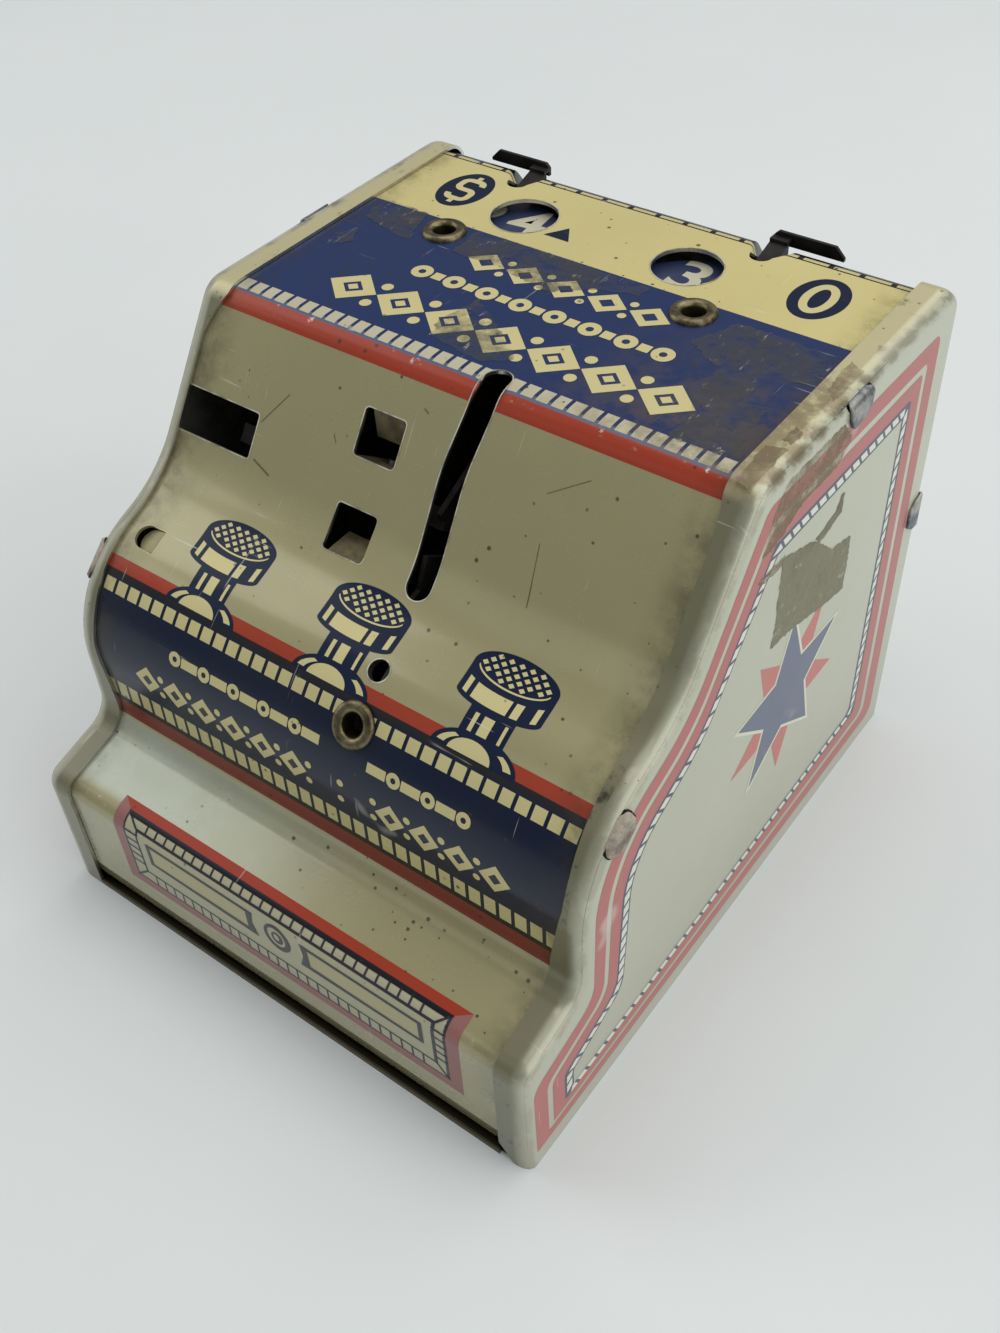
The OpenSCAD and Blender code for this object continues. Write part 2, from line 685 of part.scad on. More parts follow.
module chute_eyelet() {
    color("peru") on_band(band_hole_x, eyelet_a) eyelet(chute_grip);
}

module dial_eyelet(x) {
    at_dial(x, skin_z) eyelet(skin_z - clinch_z);
}

module dime_eyelet() {
    color("peru") dial_eyelet(dime_x);
}

module dollar_eyelet() {
    color("peru") dial_eyelet(dollar_x);
}

// Collar that holds a dial clear of the top
module dial_spacer(x) {
    at_dial(x, dial_z + dial_t + stack_gap)
        ring(collar_r, eyelet_r + fit_gap, dial_drop - 2 * stack_gap);
}

module dime_spacer() {
    color("gray") dial_spacer(dime_x);
}

module dollar_spacer() {
    color("gray") dial_spacer(dollar_x);
}

module dial_washer(x) {
    at_dial(x, washer_z) ring(washer_r, eyelet_r + fit_gap, washer_t);
}

module dime_washer() {
    color("gray") dial_washer(dime_x);
}

module dollar_washer() {
    color("gray") dial_washer(dollar_x);
}

// Disc with a release gap in its rim at angle gap_a
module dial_disc(x, gap_a) {
    at_dial(x, dial_z) difference() {
        ring(dial_r, axle_bore_r, dial_t);
        rotate(gap_a) translate([dial_r - rim_gap_d, -rim_gap_w / 2, -cut])
            cube([2 * rim_gap_d, rim_gap_w, dial_t + 2 * cut]);
    }
}

module dime_dial() {
    color("navy") dial_disc(dime_x, dime_gap_a);
}

module dollar_dial() {
    color("navy") dial_disc(dollar_x, dollar_gap_a);
}

// Saw-toothed wheel under the dime dial; the pawl holds the steep faces
module dime_ratchet() {
    color("goldenrod") at_dial(dime_x, ratchet_z) difference() {
        linear_extrude(ratchet_t) polygon([for (i = [0:steps - 1])
            each [polar(ratchet_r, pawl_a + i * step_a), polar(ratchet_root_r, pawl_a + i * step_a)]]);
        translate([0, 0, -cut]) cylinder(r = axle_bore_r, h = ratchet_t + 2 * cut);
    }
}

// Finger that turns the star wheel once in each turn of the dime dial
module carry_finger() {
    hub_r = ratchet_root_r - run_gap;
    start = (axle_bore_r + hub_r) / 2;
    color("goldenrod") at_dial(dime_x, carry_z) {
        ring(hub_r, axle_bore_r, carry_t);
        rotate(carry_a) {
            translate([start, -carry_w / 2, 0]) cube([carry_r - carry_w / 2 - start, carry_w, carry_t]);
            translate([carry_r - carry_w / 2, 0, 0]) cylinder(d = carry_w, h = carry_t);
        }
    }
}

// Ten-pointed wheel under the dollar dial, on a hub
module dollar_star_wheel() {
    color("goldenrod") at_dial(dollar_x, carry_z) difference() {
        union() {
            linear_extrude(carry_t) polygon([for (i = [0:steps - 1])
                each [polar(star_r, (i + 0.5) * step_a), polar(star_root_r, (i + 1) * step_a)]]);
            translate([0, 0, ratchet_z - carry_z]) cylinder(r = ratchet_root_r, h = carry_z - ratchet_z);
        }
        translate([0, 0, ratchet_z - carry_z - cut])
            cylinder(r = axle_bore_r, h = ratchet_t + carry_t + 3 * cut);
    }
}

// Dark steel strip: its head hooks over the back, its tongue meets the dial, its foot holds the trap door
module lock_spring(x) {
    neck_w = notch_w - 2 * tab_play;
    y0 = back_in - lock_play - lock_t;
    y1 = y0 + lock_t;
    foot_y = trap_back - trap_play - lip_d - lock_off - lock_t;
    nose_y = foot_y + lock_t + nose_l;
    nose_z = lip_z - lock_play - lock_t;
    neck_z = skin_z - lock_t;
    low_z = skin_z - roll_r + wall_in + shoulder;
    tongue_z = dial_z + lock_play;
    rim_y = dial_y + dial_r + rim_play;
    head_y = back_skin + stack_gap;
    translate([x, 0, 0]) {
        across(lock_w) polygon([[y0, low_z], [y0, knee_z], [foot_y, ankle_z], [foot_y, nose_z],
            [nose_y, nose_z], [nose_y, nose_z + lock_t], [foot_y + lock_t, nose_z + lock_t],
            [foot_y + lock_t, ankle_z - lock_t], [y1, knee_z - lock_t], [y1, low_z]]);
        across(neck_w) polygon([[y0, low_z - cut], [y0, tongue_z], [rim_y, dial_z], [rim_y, dial_z + dial_t],
            [y0, neck_z], [y0, skin_z], [back, skin_z], [back, neck_z], [y1, neck_z], [y1, low_z - cut]]);
        translate([0, back, skin_z]) rotate([90, 0, 0]) linear_extrude(back - head_y) mirror([x > 0 ? 0 : 1, 0])
            translate([-neck_w / 2, 0]) polygon([[0, -head_drop], [0, 0], [head_h, head_h],
                [head_w - head_bevel, head_h], [head_w, head_h - head_bevel], [head_w, -head_drop]]);
    }
}

module dime_lock_spring() {
    color("black") lock_spring(dime_x);
}

module dollar_lock_spring() {
    color("black") lock_spring(dollar_x);
}

module lever_pin() {
    color("dimgray") at_pin() cylinder(r = pin_r, h = web_w + 2 * pin_end, center = true);
}

// Return spring on the pin: its closed coil as one sleeve, one leg under the sheet and one behind the lever
module lever_spring() {
    top = ear_gap / 2 - end_play;
    low = top - spring_l;
    leg_x = coil_r - spring_wire / 2;
    leg_d = spring_wire - 2 * fit_gap;
    color("dimgray") at_pin() {
        translate([0, 0, low]) ring(coil_r, pin_r + end_play, spring_l);
        translate([leg_x, 0, top - spring_wire / 2]) rotate([90, 0, 0])
            cylinder(d = leg_d, h = pin_depth - end_play - leg_d);
        translate([-leg_x, 0, low + spring_wire / 2]) rotate([0, -90, 0])
            cylinder(d = leg_d, h = spring_leg);
    }
}

// Rocking lever: barrel on the pin, tail to the left, coin finger and pawl arm to the right
module coin_lever() {
    y0 = barrel_r - lever_t;
    tail = square_x - oblong_x;
    finger_x = slot_x - square_x + finger_past;
    to_arm = arm_x - square_x;
    low = -ear_gap / 2 + end_play;
    color("slategray") at_pin() {
        difference() {
            union() {
                translate([0, 0, low]) cylinder(r = barrel_r, h = barrel_l);
                translate([-tail, y0, low]) cube([tail + to_arm + lever_t, lever_t, barrel_l]);
            }
            cylinder(r = pin_r + run_gap, h = 3 * web_w, center = true);
        }
        translate([0, 0, low]) linear_extrude(barrel_l) polygon([[to_arm, y0], [to_arm + lever_t, y0],
            [finger_x, finger_d], [finger_x - lever_t, finger_d], [to_arm, y0 + lever_t]]);
        translate([to_arm, 0, 0]) rotate([90, 0, 90]) linear_extrude(lever_t)
            lever_arm([y0, low + barrel_l / 2]);
    }
}

// Outline of the lever's arm beside the slot, from its start up to the pawl, in the pin's depth and slope
module lever_arm(start) {
    to_foot = pawl_foot - pin_at;
    end = [to_foot * face_deep, to_foot * face_up];
    along = unit(end - start);
    half = arm_w / 2 * [along.y, -along.x];
    polygon([start - half, start + half, end + half, end - half]);
}

// Flat hook that pulls the ratchet round
module drive_pawl() {
    half = pawl_t / 2;
    edge = polar(half, pawl_lean + 90);
    y0 = pawl_heel.y - half;
    y1 = pawl_heel.y + half;
    x1 = pawl_x + pawl_t;
    color("steelblue") translate([0, 0, pawl_z]) linear_extrude(pawl_h)
        polygon([[pawl_x, y0], [pawl_heel.x + half, y0], pawl_tip - edge, pawl_tip + edge,
            [pawl_heel.x - half, y1], [x1, y1], [x1, y0 + pawl_foot_l], [pawl_x, y0 + pawl_foot_l]]);
}

module pawl_rivet() {
    color("peru") translate([pawl_x + pawl_t + stack_gap, pawl_foot.x + pawl_t / 2, pawl_foot.y])
        rotate([0, 90, 0]) cylinder(r = rivet_r, h = rivet_h);
}

body_wrap();
left_side_panel();
right_side_panel();
base_plate();
trap_door();
trap_hinge_pin();
coin_chute();
chute_eyelet();
dime_eyelet();
dollar_eyelet();
dime_spacer();
dollar_spacer();
dime_washer();
dollar_washer();
dime_lock_spring();
dollar_lock_spring();
lever_pin();
lever_spring();
coin_lever();
drive_pawl();
pawl_rivet();
dime_dial();
dime_ratchet();
carry_finger();
dollar_dial();
dollar_star_wheel();
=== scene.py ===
"""Looks of a small printed-tin coin bank shaped like a cash register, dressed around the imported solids.

Lengths are in millimetres on the flat sheet and in metres in the scene. The wrap is one flat sheet, x across
and s along it from the foot of the drawer front, which is cut, printed and then bent round the outline.
"""

import math

import bpy
import numpy as np
from mathutils import Matrix, Vector
from mathutils.geometry import delaunay_2d_cdt


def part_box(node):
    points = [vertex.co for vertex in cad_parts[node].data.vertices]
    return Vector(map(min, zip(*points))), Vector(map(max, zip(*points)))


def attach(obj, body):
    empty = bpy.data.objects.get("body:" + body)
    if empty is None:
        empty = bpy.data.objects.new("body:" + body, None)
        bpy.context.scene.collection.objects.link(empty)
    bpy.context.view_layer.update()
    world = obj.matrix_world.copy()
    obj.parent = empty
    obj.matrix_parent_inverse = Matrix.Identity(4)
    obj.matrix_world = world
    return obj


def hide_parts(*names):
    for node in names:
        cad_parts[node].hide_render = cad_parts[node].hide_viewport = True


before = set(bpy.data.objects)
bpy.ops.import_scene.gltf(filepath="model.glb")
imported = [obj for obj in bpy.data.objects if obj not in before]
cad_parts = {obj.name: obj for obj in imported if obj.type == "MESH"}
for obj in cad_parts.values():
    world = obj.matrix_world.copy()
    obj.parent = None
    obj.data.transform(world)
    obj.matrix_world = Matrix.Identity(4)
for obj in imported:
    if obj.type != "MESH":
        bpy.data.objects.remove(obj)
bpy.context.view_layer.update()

MM = 0.001
SHEET = 0.35
FIT = 0.05
WALL_IN = SHEET + FIT
SIDES = {-1: "left", 1: "right"}

# The outline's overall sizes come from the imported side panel
_low, _high = (np.array(v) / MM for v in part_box("right_side_panel"))
HALF_W = _high[0]
FLANGE = _high[0] - _low[0]
FRONT, BACK = _low[1], _high[1]
TOP = _high[2]
WRAP_HALF = HALF_W - WALL_IN

# Corners of the outline in depth and height, from the foot of the front to the foot of the back, with radii
DRAWER_H, GROOVE_H, LEDGE_D, LEDGE_RISE = 16.6, 1.4, 9.1, 2.6
BAND_H, BAND_LEAN, SHELF_D, SHELF_RISE, FACE_D = 17.4, 0.2, 14.5, 5.5, 11.7
HEM_D, HEM_R, ROLL_R = 3.5, 0.9, 3.5
DRAWER, BAND, SHELF, BROW, REAR = 1, 3, 4, 5, 6
_ledge_z = DRAWER_H + LEDGE_RISE
_band_y = FRONT + LEDGE_D + BAND_LEAN
_shelf_y = _band_y + SHELF_D
OUTLINE = np.array([
    (FRONT, 0), (FRONT, DRAWER_H), (FRONT + LEDGE_D, _ledge_z), (_band_y, _ledge_z + BAND_H),
    (_shelf_y, _ledge_z + BAND_H + SHELF_RISE), (_shelf_y + FACE_D, TOP), (BACK, TOP), (BACK, 0)])
OUTLINE_R = [0, 2.5, 3, 14, 15, 3.5, 2.5, 0]

# How deep the flanges of the sides are at heights up the front, with the slope's own depth on the left and
# right, and the slanting cut at the foot of the right one
FLANGE_HEIGHTS = (0, 2.3, 22.2, 29.6, 33.1, 42.1, 55.0, 57.8)
FLANGE_BAND, FLANGE_SLOPE, FLANGE_CUT = 2.4, {-1: 1.9, 1: 3.0}, {-1: 0.0, 1: 2.3}
RIM_R, RIM_ACROSS, RIM_DEEP = 1.1, 1.8, 1.45

# Dials and holes, as on the solids
DIAL_Y = BACK - 17.7
DIME_X, DOLLAR_X = 12.7, -17.05
DIAL_TOP = np.array(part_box("dime_dial")[1])[2] / MM
WINDOW_R, WINDOW_REACH, WINDOW_A = 3.6, 8.75, 35
NUMERAL_REACH, NUMERAL_H, NUMERAL_STRETCH, NUMERAL_BOLD = 9.6, 5.6, (1.12, 1.0), 0.02
NOTCH_W, NOTCH_D = 2.4, 6.0
SLOT_X, SLOT_W, SLOT_BOW, SLOT_LEAN, BOW_AT, BOW_BLEND = 3.5, 2.7, 0.6, 0.2, 0.62, 3.0
SLOT_FOOT, SLOT_ON_TOP = (FRONT + 23.1, 41.9), 3
SQUARE_X, SQUARE_W, SQUARE_H, WEB_MID, WEB_W = -5.9, 4.9, 4.7, 7.35, 4.7
OBLONG_X, OBLONG_W, OBLONG_H = -25.3, 9.8, 4.6
BAND_HOLE_X, EYELET_A, PIP_A, PIP_R = 4.4, 37.6, 61, 1.1
LANCE_X, LANCE_L, LANCE_R, LANCE_DOWN, LANCE_DIP = -25.4, 1.7, 1.3, 6.9, 20
EYELET_R, EYELET_HOLE_R, EYELET_FLANGE_R, EYELET_FLANGE_H = 1.65, 1.15, 2.35, 0.55
CLINCH_OUT, CLINCH_T, CHUTE_EYELET_L = 0.3, 0.35, 1.3
TAB_W, TAB_L, TAB_TOP_Y, TAB_BACK_Z, TAB_BAND_A = 4.2, 2.6, 15.4, 32.0, 48
TAB_SLIT = TAB_W / 2 + 0.2
PIN_DEPTH = 3.0

# How finely lines and sheets are sampled, how far from the cuts, and the angle in degrees of a sharp edge
FINE, TURN_STEP, STRAIGHT_STEP, WRAP_BEND_STEP, SIDE_BEND_STEP = 20000, 3.0, 2.5, 0.4, 0.35
WRAP_COLUMNS, FOOT_POINTS, FACE_STEP = 28, 26, 3.0
CLEAR_OF_CUTS, SHARP = 0.12, 38

# Colours, as six hex digits of screen colour
BEIGE, CREAM, YELLOW = "a8a177", "d3c890", "ddd08e"
NAVY, TOP_NAVY, WORN_NAVY, NEAR_BLACK = "051734", "1a3060", "5d6480", "14141a"
RED, DEEP_RED, FADED_RED = "a5391f", "84362a", "9a6a66"
SIDE_CREAM, SIDE_PINK, SIDE_RED, SIDE_WHITE = "c4c6af", "c99a98", "b4645f", "e3e4d6"
BARE_TIN, BRIGHT_TIN, DULL_TIN = "b4b2a6", "d9d8d0", "8d8a7d"
RESIDUE, SHADED_FLANGE_OLIVE, SLATE, DIRT_AND_SHADE, PALE_CELLS = "86816a", "6b6749", "434d60", "37311f", "c9c3a6"


def paint(code):
    """A colour's hex digits as linear light for a shader."""
    c = np.array([int(code[i:i + 2], 16) for i in (0, 2, 4)]) / 255
    return (*np.where(c <= 0.04045, c / 12.92, ((c + 0.055) / 1.055) ** 2.4), 1.0)


# Lines and surfaces

def unit(rows):
    """Rows of vectors, each divided by its length."""
    return rows / np.linalg.norm(rows, axis=1)[:, None]


def follow(s, run, line):
    """The points of a line, or its normals, at lengths along it, by straight interpolation."""
    return np.stack([np.interp(s, run, line[:, k]) for k in (0, 1)], -1)


def nearest(run, line, place):
    """Length along a finely sampled line of the point nearest to a place in depth and height."""
    return run[np.argmin(((line - place) ** 2).sum(1))]


def out_of_band(angle):
    """The direction, in depth and height, out of the rounded band at an angle above level."""
    a = math.radians(angle)
    return np.array([-math.cos(a), math.sin(a)])


def bent_line(corners, radii, inset=0.0):
    """A line of straight runs joined by round bends, moved inwards by inset.

    Each corner moves along its bisector until both of its edges have moved by inset. A bend is an arc that
    touches both edges: its points are the centre plus the radius times the outward normal, turned from one
    edge to the next. Gives the points, their outward normals, the length along the line, and for each corner
    the arc's first and last length, its centre and its tangent length.
    """
    corners = np.asarray(corners, float)
    along = unit(np.diff(corners, axis=0))
    out = np.stack([-along[:, 1], along[:, 0]], 1)
    both = (out[:-1] + out[1:]) / (1 + (out[:-1] * out[1:]).sum(1))[:, None]
    moved = corners - inset * np.vstack([out[:1], both, out[-1:]])
    points, normals, arcs = [moved[:1]], [out[:1]], {}
    for i in range(1, len(corners) - 1):
        a, b = along[i - 1], along[i]
        turn = math.atan2(a[0] * b[1] - a[1] * b[0], a @ b)
        side = math.copysign(1, turn)
        r = max(radii[i] + inset * side, 0.01)
        tangent = r * math.tan(abs(turn) / 2)
        t = np.linspace(0, turn, 2 + int(abs(math.degrees(turn)) / TURN_STEP))[:, None]
        n = out[i - 1] * np.cos(t) + np.array([-out[i - 1][1], out[i - 1][0]]) * np.sin(t)
        centre = moved[i] - tangent * a + r * side * out[i - 1]
        arcs[i] = (sum(map(len, points)), len(t), centre, tangent)
        points.append(centre - r * side * n)
        normals.append(n)
    points = np.vstack(points + [moved[-1:]])
    normals = np.vstack(normals + [out[-1:]])
    run = np.concatenate([[0], np.cumsum(np.linalg.norm(np.diff(points, axis=0), axis=1))])
    ends = {i: (run[k], run[k + n - 1], c, tangent) for i, (k, n, c, tangent) in arcs.items()}
    return points, normals, run, ends


def sample_lengths(low, high, bends, bend_step):
    """Lengths along a bent line at which its surface is sampled, closer together in the bends."""
    s = [np.arange(low, high, STRAIGHT_STEP), [high]]
    s += [np.arange(a, b, bend_step) for a, b, _, _ in bends.values()]
    return np.unique(np.round(np.concatenate(s), 3))


class Wrap:
    """The bent sheet: turns a place on the flat sheet into a point of the scene."""

    # The spacing of the print's lattice, the slot of its finish, and a radius well outside the rounded band
    spacing, slot, outside = 1.0, "printed_tin", 20

    def __init__(self):
        """The sheet's path is the outline, a wall inside it, with a hem below and a roll behind."""
        hem = [(FRONT + HEM_D, GROOVE_H), (FRONT, GROOVE_H)]
        corners = np.vstack([hem, OUTLINE[1:7], [(BACK, WALL_IN)]])
        radii = [0, HEM_R, *OUTLINE_R[1:6], ROLL_R, 0]
        self.points, self.normals, run, ends = bent_line(corners, radii, WALL_IN)
        first = int(np.argmin(np.abs(run - ends[1][1])))
        self.run = run - (run[first] - self.points[first, 1])
        shift = self.run[0] - run[0]
        self.bends = {i - 1: (a + shift, b + shift, c, t) for i, (a, b, c, t) in ends.items()}
        self.start, self.end = self.run[0], self.run[-1]
        self.fine_run = np.linspace(self.start, self.end, FINE)
        self.fine = follow(self.fine_run, self.run, self.points)

    def after(self, corner, distance):
        """Length along the sheet at that distance past a corner, on the straight run behind it."""
        return self.bends[corner][1] + distance - self.bends[corner][3]

    def before(self, corner, distance):
        """Length along the sheet at that distance short of a corner, on the straight run before it."""
        return self.bends[corner][0] + self.bends[corner][3] - distance

    def on_band(self, angle):
        """Length along the sheet of the place on the rounded band at an angle above level."""
        return self.nearest(*(self.bends[BAND][2] + self.outside * out_of_band(angle)))

    def nearest(self, y, z):
        """Length along the sheet of the place nearest to a point in depth and height."""
        return nearest(self.fine_run, self.fine, (y, z))

    def top(self, y):
        """Length along the sheet of a place on the top, from its depth."""
        s = self.bends[BROW][1]
        return s + y - np.interp(s, self.run, self.points[:, 0])

    def normal(self, s):
        """Outward normals, in the scene's axes, at lengths along the sheet."""
        return np.column_stack([np.zeros(len(s)), unit(follow(s, self.run, self.normals))])

    def place(self, flat, lift):
        """Flat places (x, s), lifted off the outer skin, in metres: the path's point plus lift normals."""
        points = np.column_stack([flat[:, 0], follow(flat[:, 1], self.run, self.points)])
        return (points + np.reshape(lift, (-1, 1)) * self.normal(flat[:, 1])) * MM

    def stations(self, low, high):
        """Lengths along the sheet, between two of them, at which its surface is sampled."""
        s = sample_lengths(low, high, self.bends, WRAP_BEND_STEP)
        return s[(s >= low) & (s <= high)]


wrap = Wrap()


class Plane:
    """A flat face square to one axis of the scene: turns a place on it into a point of the scene."""

    spacing = 4.0

    def __init__(self, axis, distance, way=1.0, slot="side_tin"):
        """The face lies at a distance along the axis, and looks that way along it."""
        self.axis, self.distance, self.way, self.slot = axis, distance, way, slot

    def place(self, flat, lift):
        """Places in the other two axes, lifted off the face, as points in metres."""
        level = self.way * (self.distance + np.broadcast_to(lift, len(flat)))
        return np.insert(flat, self.axis, level, axis=1) * MM

    def normal(self, s):
        """The face's outward normal, once for each value of s."""
        return np.tile(np.eye(3)[self.axis] * self.way, (len(s), 1))

    def stations(self, low, high):
        """A flat face needs no samples between its edges."""
        return np.array([low, high])


# Loops on a flat sheet

def inside(points, loop):
    """True for points within a closed loop: an odd number of its edges lie to the right of the point."""
    a, b = loop, np.roll(loop, -1, 0)
    x, y = points[:, :1], points[:, 1:2]
    rise = np.where(a[:, 1] == b[:, 1], 1e-12, b[:, 1] - a[:, 1])
    spans = (a[:, 1] > y) != (b[:, 1] > y)
    crosses = spans & (x < a[:, 0] + (y - a[:, 1]) * (b[:, 0] - a[:, 0]) / rise)
    return crosses.sum(1) % 2 == 1


def distance_to(points, loop):
    """Least distance from each point to the edges of a closed loop."""
    a, b = loop[None], np.roll(loop, -1, 0)[None]
    d = b - a
    t = np.clip(((points[:, None] - a) * d).sum(2) / np.maximum((d * d).sum(2), 1e-12), 0, 1)
    return np.linalg.norm(points[:, None] - a - t[..., None] * d, axis=2).min(1)


def grid(xs, ys):
    """All pairs of two lists of values, as points."""
    return np.stack(np.meshgrid(xs, ys), -1).reshape(-1, 2)


def cut_sheet(outer, holes, lattice):
    """Points and triangles of a flat sheet: Delaunay triangles over a lattice that keep every cut line.

    Lattice points outside the sheet, in a hole or close to a cut line are left out, and so are triangles
    whose middle lies there.
    """
    loops = [outer, *holes]
    keep = inside(lattice, outer)
    for loop in loops:
        keep &= distance_to(lattice, loop) > CLEAR_OF_CUTS
    for hole in holes:
        keep &= ~inside(lattice, hole)
    counts = np.cumsum([0] + [len(loop) for loop in loops])
    edges = np.vstack([np.column_stack([np.arange(n), np.roll(np.arange(n), -1)]) + k
                       for n, k in zip(map(len, loops), counts)])
    start = np.vstack(loops + [lattice[keep]])
    points, _, faces, _, _, _ = delaunay_2d_cdt(start.tolist(), edges.tolist(), [], 0, 1e-5)
    points = np.array([tuple(p) for p in points])
    faces = np.array(faces)
    middle = points[faces].mean(1)
    good = inside(middle, outer)
    for hole in holes:
        good &= ~inside(middle, hole)
    faces = faces[good]
    a, b, c = (points[faces[:, k]] for k in range(3))
    area = (b[:, 0] - a[:, 0]) * (c[:, 1] - a[:, 1]) - (b[:, 1] - a[:, 1]) * (c[:, 0] - a[:, 0])
    faces = np.where((area < 0)[:, None], faces[:, ::-1], faces)
    used, back = np.unique(faces, return_inverse=True)
    return points[used], back.reshape(faces.shape)


def cut_grid(xs, ys, holes):
    """A sheet cut from a grid: its outer loop runs through the grid's outer points."""
    outer = np.vstack([
        grid(xs[:-1], ys[:1]), grid(xs[-1:], ys[:-1]), grid(xs[:0:-1], ys[-1:]), grid(xs[:1], ys[:0:-1])])
    return cut_sheet(outer, holes, grid(xs[1:-1], ys[1:-1]))


def rectangle(x0, y0, x1, y1, r=0.0, n=4):
    """A closed loop round a rectangle, with corners of radius r."""
    if r <= 0:
        return np.array([(x0, y0), (x1, y0), (x1, y1), (x0, y1)], float)
    a = np.linspace(0, math.pi / 2, n + 1)
    corner = np.stack([np.cos(a), np.sin(a)], 1) * r
    turn = np.array([(0, -1), (1, 0)])
    parts = []
    for middle in ((x1 - r, y1 - r), (x0 + r, y1 - r), (x0 + r, y0 + r), (x1 - r, y0 + r)):
        parts.append(corner + middle)
        corner = corner @ turn.T
    return np.vstack(parts)


def ellipse(x, y, rx, ry=None, n=48, start=0.0, end=360.0):
    """A closed loop round an ellipse, or the part of it between two angles."""
    full = end - start >= 360
    a = np.radians(np.linspace(start, end, n, endpoint=not full))
    return np.column_stack([x + rx * np.cos(a), y + (ry or rx) * np.sin(a)])


def lozenge(x, s, rx, rs):
    """A diamond about a place."""
    return np.array([(x - rx, s), (x, s - rs), (x + rx, s), (x, s + rs)])


def star(y, z, tips, hollows, turn=90.0):
    """A regular five-pointed star about a place."""
    a = np.radians(turn + 36 * np.arange(10))
    r = np.where(np.arange(10) % 2 == 0, tips, hollows)
    return np.column_stack([y + r * np.cos(a), z + r * np.sin(a)])


def between(one, other):
    """A closed loop along one line and back along another."""
    return np.vstack([one, other[::-1]])


def stroke(path, width, radii=None):
    """A loop round a line of even width: the line moved out by half of it, and back along the other side."""
    path = np.asarray(path, float)
    radii = radii or [0.0] * len(path)
    return between(bent_line(path, radii, -width / 2)[0], bent_line(path, radii, width / 2)[0])


def dense(loop, step):
    """A closed loop with extra points, so that no edge is longer than a step."""
    following = np.roll(loop, -1, 0)
    parts = np.maximum(np.ceil(np.linalg.norm(following - loop, axis=1) / step), 1).astype(int)
    which = np.repeat(np.arange(len(loop)), parts)
    share = (np.arange(len(which)) - np.repeat(np.cumsum(parts) - parts, parts)) / parts[which]
    return loop[which] + share[:, None] * (following - loop)[which]


def torn(loops, shift, step, depth):
    """Loops with ragged edges: extra points, each moved by a random amount, seeded by the loop's number."""
    rough = []
    for seed, loop in enumerate(loops):
        loop = dense(np.asarray(loop, float) + shift, step)
        rough.append(loop + np.random.default_rng(seed).uniform(-depth, depth, loop.shape))
    return rough


# Meshes

def new_piece(name, points, faces, finishes, slot, body="case", flat=None, finish_of=None, normals=None):
    """A mesh object from arrays of points and faces, with its finishes, corner normals and flat places."""
    mesh = bpy.data.meshes.new(name)
    mesh.from_pydata(points.tolist(), [], [list(f) for f in faces])
    for material in finishes:
        mesh.materials.append(material)
    mesh.polygons.foreach_set("use_smooth", np.ones(len(mesh.polygons), bool))
    if finish_of is not None:
        mesh.polygons.foreach_set("material_index", np.asarray(finish_of, np.int32))
    if flat is not None:
        data = mesh.attributes.new("flat", "FLOAT_VECTOR", "POINT").data
        data.foreach_set("vector", np.asarray(flat, np.float32).ravel())
    if normals is not None:
        mesh.normals_split_custom_set(normals.tolist())
    else:
        mesh.set_sharp_from_angle(angle=math.radians(SHARP))
    mesh.update()
    piece = bpy.data.objects.new(name, mesh)
    bpy.context.scene.collection.objects.link(piece)
    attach(piece, body)
    return piece


def turned_outwards(points, faces, up):
    """The faces, each turned round where its normal points away from its outward direction."""
    a, b, c = (points[faces[:, k]] for k in range(3))
    wrong = (np.cross(b - a, c - a) * up).sum(1) < 0
    return np.where(wrong[:, None], faces[:, ::-1], faces)


def thick_sheet(name, flat, triangles, outer, inner, up, finishes, slot):
    """A sheet with an outer and an inner skin and the walls of its cut edges.

    An edge that only one triangle has is a cut edge, and gets a wall whose normal is the edge's direction
    crossed with the surface's normal. The three finishes are those of the skins and of the walls.
    """
    n = len(flat)
    points = np.vstack([outer, inner])
    edges = np.vstack([triangles[:, [0, 1]], triangles[:, [1, 2]], triangles[:, [2, 0]]])
    code = edges[:, 0] * n + edges[:, 1]
    cut = edges[~np.isin(code, edges[:, 1] * n + edges[:, 0])]
    a, b = cut[:, 0], cut[:, 1]
    walls = np.column_stack([a + n, b + n, b, a])
    way = np.cross(points[b] - points[a], up[a])
    way /= np.maximum(np.linalg.norm(way, axis=1), 1e-12)[:, None]
    back = triangles[:, ::-1]
    faces = [*triangles, *(back + n), *walls]
    corners = np.vstack([up[triangles].reshape(-1, 3), -up[back].reshape(-1, 3), np.repeat(way, 4, 0)])
    finish_of = np.repeat([0, 1, 2], [len(triangles), len(triangles), len(walls)])
    three = flat if flat.shape[1] == 3 else np.column_stack([flat, np.zeros(n)])
    return new_piece(name, points, faces, finishes, slot, flat=np.vstack([three, three]),
                     finish_of=finish_of, normals=corners)


def ink(name, shapes, surface, lift, finish):
    """Printed shapes on a surface, each cut as a flat sheet and laid a lift above it.

    A shape is a loop, or a list of a loop and its hole loops. Each next shape lies a hair above the one
    before, so that shapes may overlap.
    """
    all_points, all_faces, lifts, count = [], [], [], 0
    for i, shape in enumerate(shapes):
        outer, *holes = shape if isinstance(shape, list) else [shape]
        low, high = outer.min(0), outer.max(0)
        columns = np.arange(low[0] + 0.5, high[0], surface.spacing)
        lattice = grid(columns, surface.stations(low[1], high[1]))
        loops = [dense(loop, surface.spacing / 2) for loop in (outer, *holes)]
        flat, triangles = cut_sheet(loops[0], loops[1:], lattice)
        all_points.append(flat)
        all_faces.append(triangles + count)
        lifts.append(np.full(len(flat), lift + 0.0004 * i))
        count += len(flat)
    return lay(name, np.vstack(all_points), np.vstack(all_faces), surface, np.concatenate(lifts), finish)


